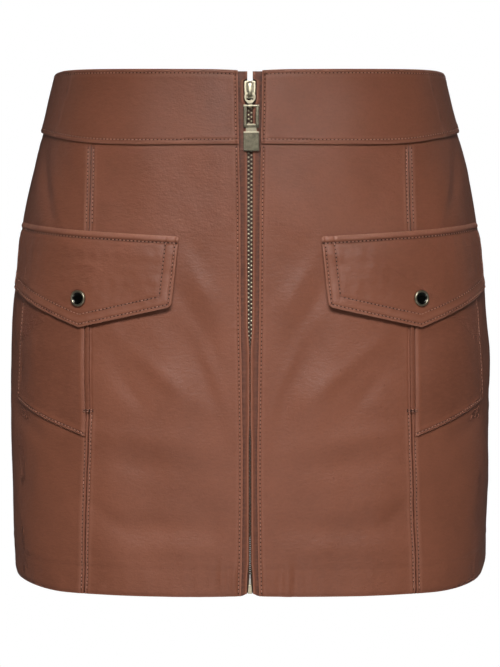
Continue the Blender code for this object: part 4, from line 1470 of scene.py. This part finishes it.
def add_prism(bm, outline, sweep, rim, angle):
    """Sweep a flat outline into a solid, and round its edges that turn by more than an angle."""
    verts = [bm.verts.new(Vector(corner) * MM) for corner in outline]
    face = bm.faces.new(verts)
    grown = bmesh.ops.extrude_face_region(bm, geom=[face])["geom"]
    moved = [item for item in grown if isinstance(item, bmesh.types.BMVert)]
    bmesh.ops.translate(bm, verts=moved, vec=Vector(sweep) * MM)
    faces = list({face for vert in verts + moved for face in vert.link_faces})
    bmesh.ops.recalc_face_normals(bm, faces=faces)
    round_edges(bm, turned_edges(faces, angle), rim, 3)


def sink_front(bm, rim, wall, depth):
    """Sink the broad front face behind a rim, down a steep wall."""
    front = max(bm.faces, key=lambda face: -face.normal.y * face.calc_area())
    for width in (rim, wall):
        bmesh.ops.inset_region(bm, faces=[front], thickness=width * MM, depth=0.0)
    bmesh.ops.translate(bm, verts=list(front.verts), vec=(0, depth * MM, 0))
    return front


def full_turn(bm, edges, centre, axis, steps):
    bmesh.ops.spin(bm, geom=edges, cent=centre, axis=axis, angle=2 * math.pi, steps=steps,
                   use_merge=True, dvec=(0, 0, 0))


def drawn_edges(bm, places, closed):
    """A line of edges through places in millimetres."""
    verts = [bm.verts.new(Vector(place) * MM) for place in places]
    ends = verts[1:] + verts[:1] if closed else verts[1:]
    return [bm.edges.new(pair) for pair in zip(verts, ends)]


class SKIRT_OT_placket(bpy.types.Operator):
    """Make the leather lips and the woven tapes beside the teeth"""
    bl_idname = "skirt.placket"
    bl_label = "Zip lips and tapes"

    def execute(self, context):
        top, bottom = PLACKET[0].drop, PLACKET[-1].drop
        length = bottom - top
        rows = np.linspace(0.0, length, 230)
        lip_lines = np.array((0.0, 0.45, 0.9, 1.4, 2.0, 3.0, 4.5, 7.0, 10.0))
        tape_lines = np.array((0.0, 0.8, 1.5, 1.8, 2.1, 3.0, 5.0, 8.0, 11.0, 14.0))

        def lip_place(u, v):
            share = u / lip_lines[-1]
            foot = bottom + 0.2 + 1.5 * ease(share, 0.02, 0.32)
            drop = foot + (top - foot) * v / length
            smooth = sum(lip_edge_at(drop + shift) for shift in (-1.2, -0.4, 0.4, 1.2)) / 4
            inner = np.where((drop < 5.8) | (drop > 30), smooth, lip_edge_at(drop))
            outer = fold_edge_at(drop) + 7.5
            return inner + (outer - inner) * share, drop

        def lip_height(across, drop, side):
            inside = across - lip_edge_at(drop)
            roll = 0.50 * bump(inside - 0.9, 0.8) - 0.25 * bump(inside, 0.4)
            dip = -0.30 * bump(across - fold_edge_at(drop) + 1.0, 2.2)
            return LIP_FACE + roll + dip + cloth_height(across, drop, side)

        def lip_shading(across, drop):
            # painted highlight on the roll beside the teeth, and painted shade over the rest of the
            # lip and in the groove under the panel's fold
            inside = across - lip_edge_at(drop)
            beside = across - fold_edge_at(drop)
            rolled = 0.46 * bump(inside - 0.7, 0.55)
            return rolled - 0.32 * ease(inside, 1.1, 2.2) - 0.25 * bump(beside, 1.2)

        def tape_place(u, v):
            drop = 370.9 - 368.3 * v / length
            inner = 1.95 - 1.8 * ease(drop, CHAIN_TOP, CHAIN_TOP + 2.0)
            return inner + (14.75 - inner) * u / tape_lines[-1], drop

        def tape_height(across, drop, side):
            under_teeth = 0.75 * (1 - ease(across, 1.7, 2.2))
            return TAPE_FACE - under_teeth + cloth_height(across, drop, side)

        for side, hand in SIDES:
            cloth_patch(f"lip_leather_{hand}", f"zip_lip_{hand}", side, (lip_lines, rows),
                        lip_place, lip_height, lip_shading, LIP_WALL, 0.35)
            cloth_patch(f"tape_{hand}", f"zip_tape_{hand}", side, (tape_lines, rows), tape_place,
                        tape_height, even_shading(0.0), TAPE_WALL, 0.2,
                        (woven_tape(), woven_tape()))
        return {"FINISHED"}


class SKIRT_OT_zip_chain(bpy.types.Operator):
    """Make the closed teeth and the box that stops them at the hem"""
    bl_idname = "skirt.zip_chain"
    bl_label = "Zip teeth"

    def execute(self, context):
        pitch = context.scene.skirt_zip.tooth_pitch / MM
        count = int((CHAIN_BOTTOM - CHAIN_TOP - 1.0) / pitch)
        batches = []
        for hand, late in ((-1, 0.25), (1, 0.75)):
            drops = [CHAIN_TOP + 1.0 + pitch * (step + late) for step in range(count)]
            places = np.array([zip_frame(drop) for drop in drops])
            batches.append((self.tooth(hand), places))
        bm = bmesh.new()
        bm.from_mesh(joined_copies("teeth", batches))
        # teeth low down under the lips, and the heads between the shoulders, take the darker gold
        # as painted shade; the rest takes the lighter gold as painted highlight
        for face in bm.faces:
            middle = face.calc_center_median()
            if middle.z < (WAIST_EDGE - TEETH_SHADED) * MM or abs(middle.x) < TOOTH_NECK * MM:
                face.material_index = 1
        metal_object("zip_teeth", bm, Matrix.Identity(4), (tooth_gold(), tooth_dull()),
                     "zip_chain", BODY)
        self.add_stop()
        return {"FINISHED"}

    def tooth(self, hand):
        """One tooth: a rounded shoulder over the tape, which takes the painted highlight, and a
        lower head past the middle, which mostly takes the painted shade.
        """
        bm = bmesh.new()
        add_block(bm, (0.42, 3.30, -0.60), (1.66, 5.05, 0.60), 0.34, 2)
        add_block(bm, (-0.60, 4.05, -0.42), (0.60, 4.95, 0.42))
        if hand < 0:
            bmesh.ops.scale(bm, vec=(-1, 1, 1), verts=bm.verts)
            bmesh.ops.reverse_faces(bm, faces=bm.faces)
        return one_shape(bm)

    def add_stop(self):
        """The box at the foot of the zip, with two tapered pins running up from it."""
        bm = bmesh.new()
        half = (STOP_BOTTOM - CHAIN_BOTTOM) / 2
        verts = add_block(bm, (-1.8, 2.5, -half), (1.8, 5.5, -half + 6.4))
        for vert in verts:
            if vert.co.z > 0:
                vert.co.x *= 0.62
        round_edges(bm, edges_of(verts), 0.4, 3)
        for hand in (-1, 1):
            verts = add_block(bm, (hand * 0.62 - 0.42, 2.9, -half + 6.0),
                              (hand * 0.62 + 0.42, 5.0, half - 0.2))
            for vert in verts:
                if vert.co.z > 3.0 * MM:
                    vert.co.x = vert.co.x * 0.5 + hand * 0.06 * MM
            round_edges(bm, edges_of(verts), 0.2, 2)
        metal_object("zip_box", bm, zip_frame((CHAIN_BOTTOM + STOP_BOTTOM) / 2), (link_gold(),),
                     "zip_stop", BODY)


class SKIRT_OT_slider(bpy.types.Operator):
    """Make the zip's slider: its rounded plates, flanges and bridge"""
    bl_idname = "skirt.slider"
    bl_label = "Zip slider"

    def execute(self, context):
        bm = bmesh.new()
        self.plate(bm, 1.5, 3.0)
        # the sunk face takes the darker gold: painted shade
        sink_front(bm, 0.95, 0.16, 0.75).material_index = 1
        self.plate(bm, 5.9, 7.1)
        add_block(bm, (-1.2, 2.6, 5.6), (1.2, 6.5, 8.6), 0.3)
        outline = ((2.2, -2.4), (0.0, -2.4), (-0.9, -2.1), (-1.6, -1.5), (-2.0, -0.6), (-2.05, 1.4),
                   (-2.05, 4.4), (-2.0, 6.6), (-1.6, 7.7), (-0.8, 8.5), (0.4, 8.9), (2.2, 9.0),
                   (2.2, 7.7), (0.8, 7.6), (0.0, 7.2), (-0.5, 6.5), (-0.7, 5.6), (-0.7, -0.2),
                   (-0.4, -0.8), (0.2, -1.1), (2.2, -1.1))
        half_width = 1.35
        add_prism(bm, [(-half_width, y, z) for y, z in outline], (2 * half_width, 0, 0), 0.45, 0.5)
        metal_object("slider", bm, zip_frame(HINGE_DROP), (plated_gold(), worn_gold()),
                     "zip_slider", BODY)
        return {"FINISHED"}

    def plate(self, bm, front, back):
        """One plate: broad shoulders at the top, narrowing to the foot, with rolled rims."""
        outline = ((-4.15, 8.2), (-3.4, 9.1), (-1.2, 9.3), (0.0, 8.8), (1.2, 9.3), (3.4, 9.1),
                   (4.15, 8.2), (4.15, 3.0), (3.7, -0.5), (3.45, -3.0), (3.0, -3.4), (-3.0, -3.4),
                   (-3.45, -3.0), (-3.7, -0.5), (-4.15, 3.0))
        add_prism(bm, [(x, back, z) for x, z in outline], (0, front - back, 0), 0.35, 1.2)


class SKIRT_OT_pull(bpy.types.Operator):
    """Make the wire link and the framed tab that hangs from it"""
    bl_idname = "skirt.pull"
    bl_label = "Zip pull"

    def execute(self, context):
        hinge = zip_frame(HINGE_DROP) @ Matrix.Translation(Vector((0, LINK_DEPTH, 0)) * MM)
        self.link(hinge)
        self.tab(hinge @ Matrix.Translation(Vector((TAB_SHIFT, 0, -LINK_LENGTH)) * MM))
        return {"FINISHED"}

    def link(self, hinge):
        """A flat wire loop, square at the hinge and narrow and thick where it holds the tab."""
        bm = bmesh.new()
        half, middle, wire_radius = 3.4, -3.1, 0.62
        plain = 10.0                 # radius of the plain ring that is bent into the loop
        start = bmesh.ops.create_circle(
            bm, segments=14, radius=wire_radius * MM,
            matrix=Matrix.Translation((plain * MM, 0, 0)) @ Matrix.Rotation(math.pi / 2, 4, "X"))
        full_turn(bm, edges_of(start["verts"]), (0, 0, 0), (0, 1, 0), 84)
        for vert in bm.verts:
            turn = math.atan2(vert.co.z, vert.co.x)
            over = math.hypot(vert.co.x, vert.co.z) / MM - plain
            spot, out = self.loop_point(turn, half, middle)
            over *= 1.0 + max(0.0, -math.sin(turn)) ** 3
            vert.co = Vector((spot.x + out.x * over, vert.co.y / MM, spot.y + out.y * over)) * MM
        self.ring(bm, 1.12, 1.80, 1.1, -LINK_LENGTH)
        bmesh.ops.recalc_face_normals(bm, faces=bm.faces)
        metal_object("link", bm, hinge, (link_gold(),), "pull_link", "pull_link",
                     sharp=60.0)

    def loop_point(self, turn, half, middle):
        """A place on the loop's middle line, as (x, z), and the way out from it."""
        def at(angle):
            c, s = math.cos(angle), math.sin(angle)
            x = half * math.copysign(abs(c) ** 0.62, c)
            z = middle * -math.copysign(abs(s) ** 0.62, s)
            return Vector((x * (1.0 - 0.42 * ease(-s, -0.2, 1.0)), middle + z))
        ahead = at(turn + 0.01) - at(turn - 0.01)
        return at(turn), Vector((ahead.y, -ahead.x)).normalized()

    def ring(self, bm, bore, radius, half_width, middle):
        """The eye: a ring turned round the x axis."""
        rim = 0.28
        profile = ((-half_width, bore + rim), (-half_width + rim, bore), (half_width - rim, bore),
                   (half_width, bore + rim), (half_width, radius - rim),
                   (half_width - rim, radius), (-half_width + rim, radius),
                   (-half_width, radius - rim))
        edges = drawn_edges(bm, [(x, 0, middle + r) for x, r in profile], True)
        full_turn(bm, edges, Vector((0, 0, middle)) * MM, (1, 0, 0), 36)

    def tab(self, axis):
        """A frame with a bar at its top, and a sunk plate hung from it by a neck. The bar, a strip
        on the frame and the plate's top flange take the light gold as painted highlight; the neck
        takes the darker gold as painted shade.
        """
        frame_parts, highlight_parts, plate, neck = (bmesh.new() for _ in range(4))
        half, thick = 5.5, 0.82
        for hand in (-1, 1):
            low = min(hand * half, hand * 3.0)
            add_block(frame_parts, (low, -thick, -15.6), (low + 2.5, thick, 0.1), 0.34, 3)
        add_block(frame_parts, (-half, -thick, -15.6), (half, thick, -13.3), 0.34, 3)
        # the bar, a strip on the frame and the plate's top flange are painted highlight in light
        # gold
        bar = 0.92 * MM
        bmesh.ops.create_cone(highlight_parts, cap_ends=True, segments=28, radius1=bar, radius2=bar,
                              depth=11.5 * MM, matrix=Matrix.Rotation(math.pi / 2, 4, "Y"))
        round_edges(highlight_parts, turned_edges(highlight_parts.faces, 1.0), 0.25, 3)
        add_block(highlight_parts, (-3.1, -0.95, -13.9), (3.1, -0.2, -12.9), 0.25, 3)
        add_block(highlight_parts, (-5.55, -1.0, -19.5), (5.55, 0.9, -18.4), 0.3, 3)
        add_block(neck, (-3.8, -0.50, -18.9), (3.8, 0.50, -15.3), 0.2, 3)
        add_block(plate, (-5.55, -0.9, -32.3), (5.55, 0.9, -18.9))
        through = [edge for edge in plate.edges
                   if abs((edge.verts[0].co - edge.verts[1].co).y) > 0.5 * MM]
        round_edges(plate, through, 0.9, 4)
        round_edges(plate, turned_edges(plate.faces, 0.6), 0.18, 2)
        sink_front(plate, 0.45, 0.10, 0.20)
        joined = bmesh.new()
        # the neck takes the darker gold: painted shade
        for part, finish in ((frame_parts, 0), (highlight_parts, 1), (plate, 0), (neck, 2)):
            joined.from_mesh(one_shape(part, finish))
        metal_object("tab", joined, axis, (aged_brass(), plated_gold(), worn_gold()), "pull_tab",
                     "pull_tab")


class SKIRT_OT_snaps(bpy.types.Operator):
    """Make the dished snaps that close the flaps"""
    bl_idname = "skirt.snaps"
    bl_label = "Snaps"

    def execute(self, context):
        profile = ((0.0, 0.95), (2.0, 0.98), (3.2, 1.12), (3.9, 1.5), (4.25, 1.95), (4.6, 2.15),
                   (5.1, 2.15), (5.55, 1.9), (5.85, 1.35), (5.9, 0.8), (5.7, 0.3), (5.2, 0.02),
                   (0.0, 0.0))
        rim = profile[4][0]
        for side, hand in SIDES:
            lift = float(flap_height(SNAP.across, SNAP.drop, side)) + 0.45
            seat = Vector(FORM.point(*SNAP, lift))
            outward = Vector(way_out(*SNAP, 4.0, 3.0)).normalized()
            seat.x *= side
            outward.x *= side
            bm = bmesh.new()
            edges = drawn_edges(bm, [(reach, 0, out) for reach, out in profile], False)
            full_turn(bm, edges, (0, 0, 0), (0, 0, 1), 56)
            bmesh.ops.remove_doubles(bm, verts=bm.verts, dist=1e-6)
            bmesh.ops.recalc_face_normals(bm, faces=bm.faces)
            for face in bm.faces:
                middle = face.calc_center_median()
                reach = math.hypot(middle.x, middle.y) / MM
                face.material_index = int(reach > rim and middle.z > 0.4 * MM)
            turn = outward.to_track_quat("Z", "Y").to_matrix().to_4x4()
            metal_object(f"snap_cap_{hand}", bm, Matrix.Translation(seat) @ turn,
                         (snap_gunmetal(), plated_gold()), f"snap_{hand}", BODY, 60.0)
        return {"FINISHED"}


# ---- the stage -----------------------------------------------------------------------------------

def area_light(name, place, aim, size, power, spread=180.0):
    light = bpy.data.lights.new(name, "AREA")
    light.shape = "RECTANGLE"
    light.size, light.size_y = size
    light.energy = power
    light.spread = math.radians(spread)
    made = bpy.data.objects.new(name, light)
    made.location = place
    made.rotation_mode = "QUATERNION"
    made.rotation_quaternion = (Vector(aim) - Vector(place)).to_track_quat("-Z", "Y")
    bpy.context.scene.collection.objects.link(made)


class SKIRT_OT_stage(bpy.types.Operator):
    """Set the pale floor, the soft studio light and the camera"""
    bl_idname = "skirt.stage"
    bl_label = "Stage"

    def execute(self, context):
        settings = context.scene.skirt_stage
        bm = bmesh.new()
        bmesh.ops.create_grid(bm, x_segments=8, y_segments=8, size=20.0,
                              matrix=Matrix.Translation((0, 0, -settings.floor_drop)))
        mesh = bpy.data.meshes.new("floor")
        bm.to_mesh(mesh)
        bm.free()
        pale = Finish("pale_floor")
        cloudy = pale.noise(pale.place(), 0.8)
        colour = pale.mix(cloudy, (0.78, 0.78, 0.78), (0.82, 0.82, 0.82))
        pale.set(Base_Color=colour, Roughness=0.9)
        seen = pale.node("ShaderNodeLightPath")
        glow = pale.node("ShaderNodeEmission", None, Color=(1.0, 1.0, 1.0), Strength=1.0)
        mixed = pale.node("ShaderNodeMixShader")
        pale.tree.links.new(seen.outputs["Is Camera Ray"], mixed.inputs["Fac"])
        pale.tree.links.new(pale.shader.outputs[0], mixed.inputs[1])
        pale.tree.links.new(glow.outputs[0], mixed.inputs[2])
        pale.tree.links.new(mixed.outputs[0], pale.tree.nodes["Material Output"].inputs["Surface"])
        floor = add_object("floor", mesh, (pale.material,))
        self.light(settings)
        self.world(settings)
        camera = bpy.data.objects.new("camera", bpy.data.cameras.new("camera"))
        camera.data.lens = settings.camera_lens
        camera.data.sensor_width = 36.0
        camera.location = (0.0, -settings.camera_distance, WAIST_EDGE * MM)
        camera.rotation_euler = (math.pi / 2 - settings.camera_tilt, 0.0, 0.0)
        context.scene.collection.objects.link(camera)
        context.scene.camera = camera
        context.scene.view_settings.view_transform = "Standard"
        context.scene.view_settings.look = "None"
        return {"FINISHED"}

    def light(self, settings):
        middle = (0, 0, -0.15)
        area_light("key", (0, -1.25, 0.66), (0, 0, -0.42), (0.8, 0.36), settings.key_power, 52)
        area_light("low", (0, -1.2, -0.72), (0, 0, -0.25), (0.6, 0.4), settings.low_power, 70)
        for hand in (-1, 1):
            area_light(f"side_{hand}", (hand * 1.9, 0.9, 0.4), middle, (0.9, 1.6),
                       settings.fill_power)
        area_light("back", (0.4, 2.0, 1.1), middle, (1.1, 0.9), settings.back_power)

    def world(self, settings):
        """A white room to look at, which lights the skirt less than it shows."""
        world = bpy.data.worlds.new("studio")
        world.use_nodes = True
        bpy.context.scene.world = world
        tree = world.node_tree
        back = tree.nodes["Background"]
        seen = tree.nodes.new("ShaderNodeLightPath")
        strength = tree.nodes.new("ShaderNodeMath")
        strength.operation = "MAXIMUM"
        strength.inputs[1].default_value = settings.ambient
        tree.links.new(seen.outputs["Is Camera Ray"], strength.inputs[0])
        tree.links.new(strength.outputs[0], back.inputs["Strength"])
        back.inputs["Color"].default_value = (1.0, 1.0, 1.0, 1.0)


class SKIRT_PT_sidebar(bpy.types.Panel):
    bl_idname = "SKIRT_PT_sidebar"
    bl_label = "Leather Mini Skirt"
    bl_space_type = "VIEW_3D"
    bl_region_type = "UI"
    bl_category = "Skirt"

    def draw(self, context):
        for name, _ in GROUPS:
            box = self.layout.box()
            box.label(text=name.removeprefix("skirt_").capitalize())
            group = getattr(context.scene, name)
            for key in group.bl_rna.properties.keys():
                if key not in {"rna_type", "name"}:
                    box.prop(group, key)
        for operator in OPERATORS:
            self.layout.operator(operator.bl_idname)


GROUPS = (
    ("skirt_leather", SkirtLeatherSettings),
    ("skirt_sewing", SkirtSewingSettings),
    ("skirt_zip", SkirtZipSettings),
    ("skirt_stage", SkirtStageSettings),
)
OPERATORS = (
    SKIRT_OT_panels,
    SKIRT_OT_waistband,
    SKIRT_OT_pockets,
    SKIRT_OT_flaps,
    SKIRT_OT_stitching,
    SKIRT_OT_placket,
    SKIRT_OT_zip_chain,
    SKIRT_OT_slider,
    SKIRT_OT_pull,
    SKIRT_OT_snaps,
    SKIRT_OT_stage,
)


def register():
    for name, group in GROUPS:
        bpy.utils.register_class(group)
        setattr(bpy.types.Scene, name, PointerProperty(type=group))
    for cls in (*OPERATORS, SKIRT_PT_sidebar):
        bpy.utils.register_class(cls)


def unregister():
    for cls in (SKIRT_PT_sidebar, *OPERATORS[::-1]):
        bpy.utils.unregister_class(cls)
    for name, group in GROUPS[::-1]:
        delattr(bpy.types.Scene, name)
        bpy.utils.unregister_class(group)


def main():
    register()
    bpy.ops.skirt.panels()
    bpy.ops.skirt.waistband()
    bpy.ops.skirt.pockets()
    bpy.ops.skirt.flaps()
    bpy.ops.skirt.stitching()
    bpy.ops.skirt.placket()
    bpy.ops.skirt.zip_chain()
    bpy.ops.skirt.slider()
    bpy.ops.skirt.pull()
    bpy.ops.skirt.snaps()
    bpy.ops.skirt.stage()


if __name__ == "__main__":
    main()
